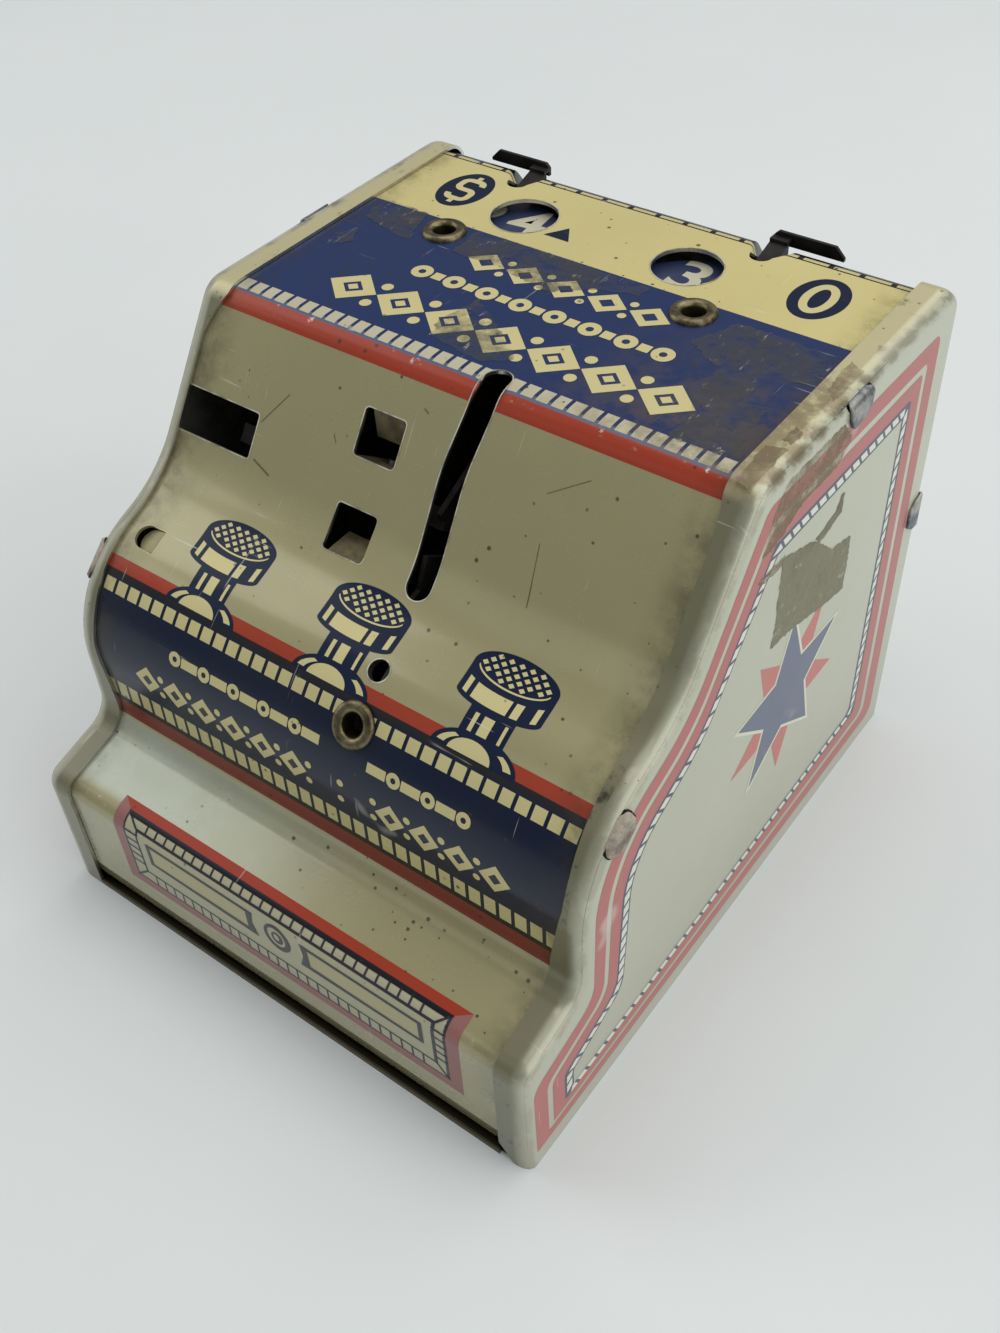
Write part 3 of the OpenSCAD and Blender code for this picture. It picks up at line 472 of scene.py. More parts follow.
def lay(name, flat, faces, surface, lifts, finish, body="case"):
    """Flat triangles or quads laid on a surface as a printed piece, all facing outwards."""
    points = surface.place(flat, lifts)
    up = surface.normal(flat[:, 1])
    faces = turned_outwards(points, faces, up[faces[:, 0]])
    three = np.column_stack([flat, np.zeros(len(flat))])
    corners = up[faces].reshape(-1, 3)
    return new_piece(name, points, faces, [finish], surface.slot, body, three, normals=corners)


def turned(name, profile, placing, finish, slot, n=64):
    """A closed profile of radius and height turned about an axis: a grid of angle by profile."""
    a = np.linspace(0, 2 * math.pi, n, endpoint=False)[:, None]
    r, z = profile[:, 0], profile[:, 1]
    m = len(profile)
    local = np.stack([r * np.cos(a), r * np.sin(a), np.broadcast_to(z, (n, m))], -1).reshape(-1, 3)
    i, j = np.meshgrid(np.arange(n), np.arange(m), indexing="ij")
    k = lambda p, q: (p % n) * m + q % m
    faces = np.stack([k(i, j), k(i + 1, j), k(i + 1, j + 1), k(i, j + 1)], -1).reshape(-1, 4)
    return new_piece(name, placing(local), faces, [finish], slot)


def folded_strip(name, path, width, thickness, placing, finish, bevel=0.06):
    """A strip of the wrap's tin bent along a path: at each point a rectangle of the width and thickness."""
    path = np.asarray(path, float)
    way = unit(np.gradient(path, axis=0))
    side = np.stack([-way[:, 1], way[:, 0]], 1) * thickness / 2
    n = len(path)
    w = np.broadcast_to(np.asarray(width, float), n) / 2
    rings = [np.column_stack([sx * w, path + sn * side]) for sx, sn in ((-1, -1), (1, -1), (1, 1), (-1, 1))]
    local = np.stack(rings, 1).reshape(-1, 3)
    i, j = np.meshgrid(np.arange(n - 1), np.arange(4), indexing="ij")
    k = lambda p, q: p * 4 + q % 4
    faces = np.stack([k(i, j), k(i, j + 1), k(i + 1, j + 1), k(i + 1, j)], -1).reshape(-1, 4)
    faces = [*faces, (3, 2, 1, 0), tuple(4 * (n - 1) + q for q in range(4))]
    piece = new_piece(name, placing(local), faces, [finish], wrap.slot)
    rounding = piece.modifiers.new("soft_edges", "BEVEL")
    rounding.width, rounding.segments, rounding.limit_method = bevel * MM, 2, "ANGLE"


def set_on(origin, across, along, up):
    """A placing function: local x, y and z along three directions, from an origin in millimetres."""
    axes = np.array([across, along, up], float)
    return lambda local: (np.asarray(origin, float) + local @ axes) * MM


# Nodes

def add(tree, kind, inputs=None, **values):
    """A node with its values set and its inputs linked or filled; a colour is given by its hex digits."""
    node = tree.nodes.new(kind)
    for key, value in values.items():
        setattr(node, key, value)
    for key, value in (inputs or {}).items():
        if isinstance(value, Value):
            tree.links.new(value.socket, node.inputs[key])
        else:
            node.inputs[key].default_value = paint(value) if isinstance(value, str) else value
    return node


class Value:
    """An output of a node. Each sign or step of arithmetic on it adds a node to its tree."""

    def __init__(self, node, key=0):
        """The output is found by its number or name."""
        self.tree, self.socket = node.id_data, node.outputs[key]

    def maths(self, operation, b=0.0, c=0.0, clamp=False):
        """One step of arithmetic on this value and up to two others."""
        inputs = {0: self, 1: b, 2: c}
        return Value(add(self.tree, "ShaderNodeMath", inputs, operation=operation, use_clamp=clamp))

    def __mul__(self, other):
        """This value times another."""
        return self.maths("MULTIPLY", other)

    def __truediv__(self, other):
        """This value divided by another."""
        return self.maths("DIVIDE", other)

    def __sub__(self, other):
        """This value less another."""
        return self.maths("SUBTRACT", other)

    def __abs__(self):
        """This value without its sign."""
        return self.maths("ABSOLUTE")

    def most(self, other):
        """The larger of this value and another."""
        return self.maths("MAXIMUM", other)

    def line(self, slope, start, clamp=False):
        """This value times a slope, plus a start."""
        return self.maths("MULTIPLY_ADD", slope, start, clamp)

    def step(self, low, high):
        """A soft step of this value, from 0 at low to 1 at high."""
        inputs = {0: self, 1: low, 2: high, 3: 0.0, 4: 1.0}
        return Value(add(self.tree, "ShaderNodeMapRange", inputs, interpolation_type="SMOOTHSTEP"))


def feed(node, **values):
    """Links values to a node's inputs by name; an underline in a name stands for a space."""
    for key, value in values.items():
        value.tree.links.new(value.socket, node.inputs[key.replace("_", " ")])


def mixed(share, a, b):
    """Colour a turned into colour b by a share."""
    return Value(add(share.tree, "ShaderNodeMix", {0: share, 6: a, 7: b}, data_type="RGBA"), 2)


def noise(place, scale, detail, roughness=0.55):
    """Fractal noise at a scale per metre of the place."""
    inputs = {"Vector": place, "Scale": scale, "Detail": detail, "Roughness": roughness}
    return Value(add(place.tree, "ShaderNodeTexNoise", inputs), "Fac")


def stretched(place, turn, scale):
    """A place turned and then scaled unevenly, so that a pattern on it draws out into streaks."""
    return Value(add(place.tree, "ShaderNodeMapping", {"Vector": place, "Rotation": turn, "Scale": scale}))


def bump(height, strength, distance):
    """Normals of a surface that rises by a height times a distance."""
    inputs = {"Height": height, "Strength": strength, "Distance": distance}
    return Value(add(height.tree, "ShaderNodeBump", inputs))


def split(vector):
    """The x, y and z of a vector."""
    node = add(vector.tree, "ShaderNodeSeparateXYZ", {0: vector})
    return [Value(node, k) for k in range(3)]


def object_place(tree):
    """The place in the scene's frame, in metres: every piece sits at the origin."""
    return Value(add(tree, "ShaderNodeTexCoord"), "Object")


def flat_place(tree):
    """The three flat coordinates of a piece, in millimetres."""
    return split(Value(add(tree, "ShaderNodeAttribute", attribute_name="flat"), "Vector"))


def group(tree, which, inputs):
    """A node group placed in a material, with its inputs linked or filled; returns its outputs by name."""
    node = add(tree, "ShaderNodeGroup", inputs, node_tree=which)
    return {output.name: Value(node, output.name) for output in node.outputs}


def new_group(name, inputs, outputs):
    """An empty node group with named sockets; returns its tree and its input and output nodes."""
    tree = bpy.data.node_groups.new(name, "ShaderNodeTree")
    for label, kind, value in inputs:
        socket = tree.interface.new_socket(label, in_out="INPUT", socket_type=kind)
        if value is not None:
            socket.default_value = value
    for label in outputs:
        tree.interface.new_socket(label, in_out="OUTPUT", socket_type="NodeSocketFloat")
    return tree, tree.nodes.new("NodeGroupInput"), tree.nodes.new("NodeGroupOutput")


def make_marks():
    """Marks of age on tin: scratches two ways, dark specks of two sizes, and a slow mottle of the varnish.

    A scratch is a streak of drawn-out noise where a slower noise lets it show. A speck is the middle of a
    Voronoi cell. The cell's random colour picks it, by the amount, and sets its radius.
    """
    tree, given, out = new_group(
        "age_marks", [("Place", "NodeSocketVector", None), ("Amount", "NodeSocketFloat", 0.2)],
        ("Scratches", "Specks", "Mottle"))
    place, amount = Value(given, "Place"), Value(given, "Amount")
    streaks = []
    for turn, scale, spread in (
            ((0.2, 0.5, 0.7), (90, 2600, 90), 130.0), ((0.9, 0.1, -0.6), (2400, 80, 110), 95.0)):
        line = noise(stretched(place, turn, scale), 1.0, 2.0, 0.5)
        streaks.append(line.step(0.69, 0.73) * noise(place, spread, 2.0).step(0.52, 0.62))
    specks = []
    for scale, size in ((520.0, 0.085), (1250.0, 0.2)):
        dots = add(tree, "ShaderNodeTexVoronoi", {"Vector": place, "Scale": scale})
        chance = add(tree, "ShaderNodeSeparateColor", {0: Value(dots, "Color")})
        picked = Value(chance, 0).maths("LESS_THAN", amount)
        radius = Value(chance, 1).maths("POWER", 3.0).line(1.7 * size, 0.22 * size)
        specks.append((Value(dots, "Distance") / radius).step(1.0, 0.5) * picked)
    feed(out, Scratches=streaks[0].most(streaks[1]), Specks=specks[0].most(specks[1]),
         Mottle=noise(place, 55.0, 6.0, 0.62))
    return tree


def make_cells():
    """A printed row of cells: 1 where s lies between two lines and x is in the filled part of its pitch."""
    names = ("X", "S", "Low", "High", "Pitch", "Fill")
    tree, given, out = new_group("cell_row", [(k, "NodeSocketFloat", 0.0) for k in names], ("Cells",))
    x, s, low, high, pitch, fill = (Value(given, k) for k in names)
    in_row = s.maths("GREATER_THAN", low) * s.maths("LESS_THAN", high)
    feed(out, Cells=in_row * (x / pitch).maths("FRACT").maths("LESS_THAN", fill))
    return tree


AGE_MARKS = make_marks()
CELL_ROW = make_cells()


# Finishes

def new_finish(name, **constant):
    """A material with constant values set on its shader; returns it, its tree and its shader."""
    material = bpy.data.materials.new(name)
    material.use_nodes = True
    tree = material.node_tree
    shader = tree.nodes["Principled BSDF"]
    for key, value in constant.items():
        shader.inputs[key.replace("_", " ")].default_value = value
    return material, tree, shader


def dress(shader, colour, rough, marks, scratch, speck=0.6, wave=0.12):
    """Lays the marks of age over a colour: scratches, specks, mottled gloss and a slight wave."""
    scratches = marks["Scratches"]
    colour = mixed(scratches * scratch, colour, BRIGHT_TIN)
    colour = mixed(marks["Specks"] * speck, colour, DIRT_AND_SHADE)
    gloss = scratches.line(0.15, marks["Mottle"].line(0.22, rough), True)
    height = noise(object_place(colour.tree), 70.0, 2.0).line(1.0, scratches * -0.05)
    feed(shader, Base_Color=colour, Roughness=gloss, Normal=bump(height, wave, 0.0012))


# The wrap's print, from the foot of the front to the back: where each colour begins along the sheet, rows of
# cells between two lengths with their pitch and fill, and bends rubbed bright within a half width
GILT = {BEIGE: 0.26, YELLOW: 0.12}
INK_GILT, COAT_OF_GILT = 0.05, 2.9
S_BROW_RED = wrap.nearest(FRONT + 34.6, 56.5)
S_BROW_NAVY = wrap.nearest(FRONT + 35.9, 58.0)
S_TOP_CELLS = wrap.top(FRONT + 36.45)
S_TOP_CELLS_END = wrap.top(FRONT + 38.1)
S_YELLOW = wrap.top(FRONT + 57.9)
S_REAR = wrap.bends[REAR][0]
ZONES = [
    (wrap.start, BEIGE), (25.6, DEEP_RED), (27.9, NEAR_BLACK), (28.4, NAVY), (43.05, NEAR_BLACK), (43.8, RED),
    (45.0, BEIGE), (S_BROW_RED, RED), (S_BROW_NAVY, WORN_NAVY), (S_TOP_CELLS - 0.12, TOP_NAVY),
    (S_YELLOW, YELLOW), (S_REAR - 0.25, NEAR_BLACK), (S_REAR + 3.2, BEIGE)]
ROWS = [
    (28.75, 30.9, 1.72, 0.76, CREAM), (41.6, 43.0, 1.72, 0.77, CREAM),
    (S_TOP_CELLS, S_TOP_CELLS_END, 1.65, 0.76, PALE_CELLS), (S_REAR + 0.1, S_REAR + 0.65, 3.3, 0.82, CREAM)]
RUBBED = [
    (sum(wrap.bends[DRAWER][:2]) / 2, 1.7, 0.62), (S_TOP_CELLS - 0.3, 0.9, 0.6), (S_REAR + 0.3, 0.7, 0.58)]


def zone_ramp(s):
    """A ramp of flat steps with the colour zones along the sheet; its alpha is the share of gilt in each."""
    length = wrap.end - wrap.start
    ramp = add(s.tree, "ShaderNodeValToRGB", {0: (s - wrap.start) / length})
    ramp.color_ramp.interpolation = "CONSTANT"
    stops = ramp.color_ramp.elements
    while len(stops) < len(ZONES):
        stops.new(0.5)
    for stop, (begin, code) in zip(stops, ZONES):
        stop.position = (begin - wrap.start) / length
        stop.color = (*paint(code)[:3], GILT.get(code, INK_GILT))
    return Value(ramp, "Color"), Value(ramp, "Alpha")


def make_wrap_print():
    """Printed and varnished tin: colour zones along the sheet, rows of cells, grime with painted shade along
    the side edges and the foot, a painted sheen on the ledge, rubbed bends and marks.

    The share of gilt says how much of the tin shines through, and so how glossy it is: a good share under
    gold varnish, little under ink.
    """
    material, tree, shader = new_finish("printed_wrap_tin", Specular_IOR_Level=0.3, Coat_Roughness=0.11)
    place = object_place(tree)
    x, s, _ = flat_place(tree)
    ledge = s.step(17.0, 18.6) * s.step(26.0, 25.0)
    pepper = ledge * x.step(-16.0, 18.0)
    on_top = s.step(S_TOP_CELLS - 1, S_TOP_CELLS) * s.step(S_YELLOW + 1, S_YELLOW)
    amount = pepper.line(0.62, on_top.line(0.25, 0.13))
    marks = group(tree, AGE_MARKS, {"Place": place, "Amount": amount})
    colour, gilt = zone_ramp(s)
    for low, high, pitch, fill, tint in ROWS:
        inputs = {"X": x, "S": s, "Low": low, "High": high, "Pitch": pitch, "Fill": fill}
        colour = mixed(group(tree, CELL_ROW, inputs)["Cells"], colour, tint)
    patchy = noise(place, 330.0, 7.0, 0.7)
    on_cells = s.step(S_TOP_CELLS - 0.4, S_TOP_CELLS) * s.step(S_YELLOW, S_TOP_CELLS_END)
    stain = on_cells * (x.step(0.0, 26.0) * patchy.step(0.35, 0.6))
    colour = mixed(stain * 0.6, colour, "6b5a3a")
    colour = mixed(marks["Mottle"].line(0.6, -0.14, True) * 0.5, colour, DIRT_AND_SHADE)
    # Painted sheen: a patchy whitish tint on the left of the ledge stands in for the varnish reflecting white
    # light from the upper left.
    painted_sheen = ledge * x.step(14.0, -22.0) * patchy.line(0.5, 0.3, True)
    colour = mixed(painted_sheen, colour, "bfccc2")
    # Darker along the side edges beside the flanges and at the foot above the groove: painted contact shade
    # in these creases, together with grime.
    shade_and_grime = (abs(x).step(24.5, 29.0) * 0.6).most(s.step(3.4, 1.4) * 0.5)
    colour = mixed(shade_and_grime * patchy.step(0.3, 0.72), colour, DIRT_AND_SHADE)
    rub = 0.0
    for middle, half, least in RUBBED:
        close = abs(s - middle).step(half, 0.3 * half)
        rub = (close * patchy.step(least, least + 0.05)).most(rub)
    colour = mixed(rub * 0.75, colour, BRIGHT_TIN)
    feed(shader, Metallic=gilt.most(rub * 0.8), Coat_Weight=gilt * COAT_OF_GILT)
    dress(shader, colour, 0.16, marks, 0.4, 0.85)
    return material


def make_side_print():
    """Pale varnished tin of the side pans, yellowed on the upper flange, painted dark olive on the rest of
    the flange as painted shade, and rubbed to metal along the rim.

    The flat coordinates are depth, height and the distance from the rim's middle, negative on the flange.
    """
    material, tree, shader = new_finish("side_panel_tin", Coat_Weight=0.4, Coat_Roughness=0.12)
    place = object_place(tree)
    depth, height, rim = flat_place(tree)
    marks = group(tree, AGE_MARKS, {"Place": place, "Amount": 0.16})
    patchy = noise(place, 260.0, 7.0, 0.68)
    on_rim = Value(add(tree, "ShaderNodeMapRange", {0: abs(rim), 1: 0.0, 2: 1.3, 3: 1.0, 4: 0.0}))
    rubbed = (on_rim * patchy.line(2.6, -0.95)).step(0.16, 0.34)
    colour = mixed(marks["Mottle"].line(0.5, 0.1, True) * 0.28, SIDE_CREAM, RESIDUE)
    colour = mixed(height.step(22.0, 2.0) * 0.35, colour, "a19e92")
    # Painted shade: the flange below the top, which faces away from the light, is painted dark olive; the top
    # flange is a yellowed cream.
    flange, above = rim.step(0.2, -1.0), height.step(57.0, 58.2)
    colour = mixed(flange * 0.9, colour, mixed(above, SHADED_FLANGE_OLIVE, "c6bc8e"))
    colour = mixed(flange * patchy.step(0.58, 0.72), colour, DIRT_AND_SHADE)
    colour = mixed(rubbed * 0.55, colour, "a9a590")
    right = split(place)[0].step(0.0, 0.001)
    torn_off = abs(depth - 6.0).step(15.0, 9.0)
    stain = above * right * (torn_off * patchy.step(0.4, 0.58))
    colour = mixed(stain * 0.8, colour, "837350")
    feed(shader, Metallic=rubbed.line(0.3, 0.2, True))
    dress(shader, colour, 0.24, marks, 0.4)
    return material


def make_ink(name, colour, worn_to, rough=0.22):
    """Printing ink under varnish, with the same marks of age as the sheet that it lies on."""
    material, tree, shader = new_finish(
        name, Metallic=0.05, Specular_IOR_Level=0.2, Coat_Weight=0.15, Coat_Roughness=0.11)
    marks = group(tree, AGE_MARKS, {"Place": object_place(tree)})
    worn = marks["Mottle"].line(0.5, -0.05, True) * 0.5
    dress(shader, mixed(worn, colour, worn_to), rough, marks, 0.45)
    return material


def make_metal(name, colour, dull, rough, scale=260.0, metallic=1.0, scratch=0.5, shade_and_grime=None):
    """Plain metal: a mottled tone between a clean and a dull colour, with fine drawn streaks.

    The last argument is a list of soft steps in depth, in metres, each with the colour that it brings:
    painted shade and grime.
    """
    material, tree, shader = new_finish(name, Metallic=metallic)
    place = object_place(tree)
    marks = group(tree, AGE_MARKS, {"Place": place})
    colour = mixed(noise(place, scale, 6.0, 0.65).step(0.35, 0.7), colour, dull)
    for low, high, tint in shade_and_grime or []:
        colour = mixed(split(place)[1].step(low, high), colour, tint)
    dress(shader, colour, rough, marks, scratch, wave=0.05)
    return material


def make_film(name, thin, thick, cover):
    """Old glue and torn paper: a matt film whose patchy cover lets the print show, with pale fibres."""
    material, tree, shader = new_finish(name)
    place = object_place(tree)
    patch = noise(place, 300.0, 7.0, 0.7)
    thread = noise(stretched(place, (0.3, 0.4, 0.2), (1500, 420, 800)), 1.0, 5.0, 0.7)
    fibres = thread.step(0.6, 0.68) * 0.6
    colour = mixed(fibres, mixed(patch.step(0.35, 0.65), thin, thick), "cbc5ae")
    hold = patch.line(2.6, cover - 1.3, True)
    feed(shader, Base_Color=colour, Roughness=patch.line(0.3, 0.4), Alpha=hold.most(fibres),
         Normal=bump(thread, 0.4, 0.0002))
    return material


# The base is painted black under the drawer front, a painted shade of the groove there together with grime,
# and a little paler along its front edge
LIP_SHADE_AND_GRIME = [(-0.0335, -0.0355, "2a261b"), (-0.03645, -0.0366, "5d5744")]

wrap_print = make_wrap_print()
side_print = make_side_print()
base_tin = make_metal("shaded_grimy_base_tin", BARE_TIN, DULL_TIN, 0.36, 260.0, 0.8, 0.3, LIP_SHADE_AND_GRIME)
bare_tin = make_metal("bare_tinplate", BARE_TIN, DULL_TIN, 0.3, metallic=0.9)
cut_edge = make_metal("cut_tin_edge", BRIGHT_TIN, BARE_TIN, 0.2)
plain_steel = make_metal("plain_steel", "8f8d88", "5d5952", 0.3)
eyelet_metal = make_metal("tarnished_brass", "8a8062", "494130", 0.26, 700.0)
black_steel_and_shadow = make_metal("blackened_steel_and_painted_shadow", "2a2725", "15130f", 0.38, 500.0, 0.5)
stained_tin = make_metal("stained_tin", "7a6f50", "4d452f", 0.45, 420.0, 0.3)
tongue_tin = make_metal("tongue_tin", BEIGE, "958d68", 0.3, 420.0, 0.2)
oiled_steel = make_metal("oiled_steel", "3d3a35", "24221e", 0.5, 420.0, 0.5)
rubbed_edge = make_metal("rubbed_hole_edge", "dcd8c2", "7a7356", 0.25, 420.0, 0.35)
painted_tab = make_metal("painted_tab", "b8ad9b", "6e6258", 0.42, 600.0, 0.1)
tab_tin = make_metal("rubbed_tab_tin", BARE_TIN, "4b5266", 0.25, 420.0, 0.75)
navy_ink = make_ink("navy_ink", "041432", "0c2549")
cream_ink = make_ink("cream_ink", CREAM, BEIGE)
band_cream_ink = make_ink("band_cream_ink", CREAM, "a9a27c")
pale_ink = make_ink("pale_panel_ink", "b6b294", "a19d84")
line_ink = make_ink("dark_line_ink", "34343c", "565664")
black_ink = make_ink("black_line_ink", NEAR_BLACK, "2a2733")
bar_ink = make_ink("drawer_bar_ink", "b9b186", "a9a280")
red_ink = make_ink("red_ink", RED, DEEP_RED)
faded_red_ink = make_ink("faded_red_ink", FADED_RED, "8a5550")
dark_scar = make_ink("dark_scar", "676044", "7f785a")
side_red_ink = make_ink("side_red_ink", SIDE_RED, SIDE_PINK)
slate_ink = make_ink("slate_ink", SLATE, "8b95a0")
white_ink = make_ink("side_white_ink", SIDE_WHITE, SIDE_CREAM)
star_blue_ink = make_ink("star_blue_ink", "646c82", "7b8492")
star_cream_ink = make_ink("star_cream_ink", "dedfc4", SIDE_CREAM)
star_red_ink = make_ink("star_red_ink", "c56f67", SIDE_PINK)
dial_ink = make_ink("dial_navy", "2e3858", "5f6984", 0.3)
numeral_ink = make_ink("numeral_cream", "cbc7b2", CREAM)
grey_film = make_film("grey_glue_film", "5e605f", "474646", 0.3)
brown_film = make_film("brown_glue_film", "9b8b6c", "7c6a4e", 0.55)
torn_paper = make_film("torn_paper", "8a866a", "716d54", 1.0)


# The wrap

def slot_loop(half):
    """Loop of the coin slot: round ends, and a middle line of two straight runs, blended where they meet."""
    low = wrap.nearest(*SLOT_FOOT) + SLOT_W / 2
    high = wrap.top(OUTLINE[BROW][0] + SLOT_ON_TOP) - SLOT_W / 2
    brow = wrap.bends[BROW][0]
    s = np.linspace(low, brow, 14)
    nodes, shifts = (low, low + BOW_AT * (brow - low), brow), (-SLOT_LEAN / 2, -SLOT_BOW, SLOT_LEAN)
    blend = np.linspace(-BOW_BLEND / 2, BOW_BLEND / 2, 7)
    bow = SLOT_X + np.mean([np.interp(s + d, nodes, shifts) for d in blend], axis=0)
    lower = ellipse(bow[0], low, half, n=20, start=180, end=360 - 1e-6)
    upper = ellipse(bow[-1], high, half, n=20, end=180)
    right, left = np.column_stack([bow + half, s]), np.column_stack([bow - half, s])
    return np.vstack([lower, right[1:], upper, left[:0:-1]])


def wrap_holes(grow=0.0):
    """Loops of the cuts in the wrap. With a margin to grow by, only those whose edges are rubbed."""
    def box(x, s, w, h, r):
        """A rectangle with round corners about a place, grown by the margin."""
        return rectangle(x - w / 2 - grow, s - h / 2 - grow, x + w / 2 + grow, s + h / 2 + grow, r + grow)

    holes = [slot_loop(SLOT_W / 2 + grow)]
    for k in (-1, 1):
        s = wrap.after(SHELF, WEB_MID + k * (WEB_W + SQUARE_H) / 2)
        holes.append(box(SQUARE_X, s, SQUARE_W, SQUARE_H, 0.4))
    holes.append(box(OBLONG_X, wrap.after(SHELF, WEB_MID), OBLONG_W, OBLONG_H, 0.3))
    holes.append(ellipse(BAND_HOLE_X, wrap.on_band(PIP_A), PIP_R + grow, n=32))
    for x in (DIME_X, DOLLAR_X):
        a = math.radians(WINDOW_A) * (-1 if x > 0 else 1)
        place = (x + WINDOW_REACH * math.sin(a), wrap.top(DIAL_Y + WINDOW_REACH * math.cos(a)))
        holes.append(ellipse(*place, WINDOW_R + grow))
    if grow > 0:
        return holes
    holes.append(ellipse(BAND_HOLE_X, wrap.on_band(EYELET_A), EYELET_R + FIT))
    s = wrap.before(SHELF, LANCE_DOWN)
    holes.append(np.vstack([ellipse(LANCE_X - LANCE_L, s, LANCE_R, n=20, start=90, end=270),
                            [(LANCE_X, s - LANCE_R), (LANCE_X, s + LANCE_R)]]))
    for x in (DIME_X, DOLLAR_X):
        holes.append(ellipse(x, wrap.top(DIAL_Y), EYELET_R + FIT))
        low, high = wrap.top(BACK - NOTCH_D), wrap.nearest(BACK, TOP - WALL_IN - ROLL_R)
        loop = rectangle(x - NOTCH_W / 2, low, x + NOTCH_W / 2, high + NOTCH_W / 2, NOTCH_W / 2 - 0.001, 8)
        holes.append(np.column_stack([loop[:, 0], np.minimum(loop[:, 1], high)]))
    return holes


def make_wrap():
    """The wrap's sheet: cut flat with all its holes, then bent round the outline."""
    xs = np.linspace(-WRAP_HALF, WRAP_HALF, WRAP_COLUMNS)
    flat, triangles = cut_grid(xs, wrap.stations(wrap.start, wrap.end), wrap_holes())
    piece = thick_sheet(
        "printed_wrap", flat, triangles, wrap.place(flat, 0.0), wrap.place(flat, -SHEET),
        wrap.normal(flat[:, 1]), [wrap_print, bare_tin, cut_edge], wrap.slot)
    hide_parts("body_wrap")


make_wrap()


# The side pans

def make_side(side):
    """One side pan: a flange, a rounded rim and a flat face, with slits for the crimp tabs.

    The rim is a section carried along the outline: across the flange, round a quarter ellipse and onto the
    face. A place on it is the outline's point, moved in along its normal by the section's depth. The face
    inside is flat, and shares the points of the rim's inner edge.
    """
    path, normals, run, bends = bent_line(OUTLINE, OUTLINE_R)
    fine_run = np.linspace(0, run[-1], FINE)
    fine = follow(fine_run, run, path)
    flange = FLANGE - RIM_ACROSS
    arc = RIM_R * math.pi / 2
    section_end = flange + arc + RIM_DEEP - RIM_R
    slope = FLANGE_SLOPE[side]
    depth = np.interp(fine[:, 1], FLANGE_HEIGHTS, [
        FLANGE - FLANGE_CUT[side], FLANGE, FLANGE, FLANGE_BAND, FLANGE_BAND, slope, slope, FLANGE])
    depth = np.maximum(np.where(fine_run < bends[BROW][1], depth, FLANGE) - RIM_ACROSS, 0.05) / flange

    def at(flat):
        """Points and outward normals of places along the outline and across the section."""
        t, p = flat[:, 0], flat[:, 1]
        a = np.clip((p - flange) / RIM_R, 0, math.pi / 2)
        x = HALF_W - RIM_ACROSS * (1 - np.sin(a)) + np.minimum(p - flange, 0) * np.interp(t, fine_run, depth)
        inwards = RIM_R - RIM_R * np.cos(a) + np.maximum(p - flange - arc, 0)
        n = unit(follow(t, run, normals))
        up = np.column_stack([side * np.sin(a), n * np.cos(a)[:, None]])
        return np.column_stack([side * x, follow(t, run, path) - inwards[:, None] * n]), up

    shoulder = bends[BAND][2] + OUTLINE_R[BAND] * out_of_band(TAB_BAND_A)
    tabs = [nearest(fine_run, fine, place) for place in ((TAB_TOP_Y, TOP), (BACK, TAB_BACK_Z), shoulder)]
    low, high = flange + 0.85 * RIM_R, flange + arc - 0.12
    slits = [rectangle(t - TAB_SLIT, low, t + TAB_SLIT, high, 0.3) for t in tabs]
    ts = sample_lengths(0, run[-1], bends, SIDE_BEND_STEP)
    ps = np.concatenate([np.linspace(0, flange, 4), flange + np.linspace(0, arc, 9)[1:], [section_end]])
    rim, rim_faces = cut_grid(ts, ps, slits)
    edge = at(grid(ts, [section_end]))[0][:, 1:]
    foot = grid(np.linspace(edge[-1, 0], edge[0, 0], FOOT_POINTS)[1:-1], [0.0])
    lattice = grid(np.arange(FRONT + 3, BACK - 2, FACE_STEP), np.arange(2.5, TOP - 2, FACE_STEP))
    face, face_faces = cut_sheet(np.vstack([edge, foot])[::-1], [], lattice)
    points, up = at(rim)
    points = np.vstack([points, np.column_stack([np.full(len(face), side * HALF_W), face])])
    up = np.vstack([up, np.tile((float(side), 0, 0), (len(face), 1))])
    from_rim = np.concatenate([rim[:, 1] - flange - arc / 2, np.full(len(face), 9.0)])
    _, first, back = np.unique(np.round(points, 3), axis=0, return_index=True, return_inverse=True)
    triangles = back.reshape(-1)[np.vstack([rim_faces, face_faces + len(rim)])]
    points, up, from_rim = points[first], up[first], from_rim[first]
    triangles = turned_outwards(points, triangles, up[triangles].mean(1))
    piece = thick_sheet(
        f"{SIDES[side]}_side_pan", np.column_stack([points[:, 1:], from_rim]), triangles,
        points * MM, (points - SHEET * up) * MM, up, [side_print, bare_tin, cut_edge], "side_tin")
    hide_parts(f"{SIDES[side]}_side_panel")


for side in SIDES:
    make_side(side)


# Crimp tabs, ears, flaps and the lanced tongue, which belong to the wrap

def fold_path(reach, drop, r, n=7):
    """A strip's middle line: straight out, round a quarter bend and straight down."""
    a = np.linspace(0, math.pi / 2, n)
    bend = np.column_stack([-(reach - r) - r * np.sin(a), -r + r * np.cos(a)])
    return np.vstack([[(0.5, 0)], bend, [(-reach, -drop * 0.6)], [(-reach + 0.06, -drop)]])


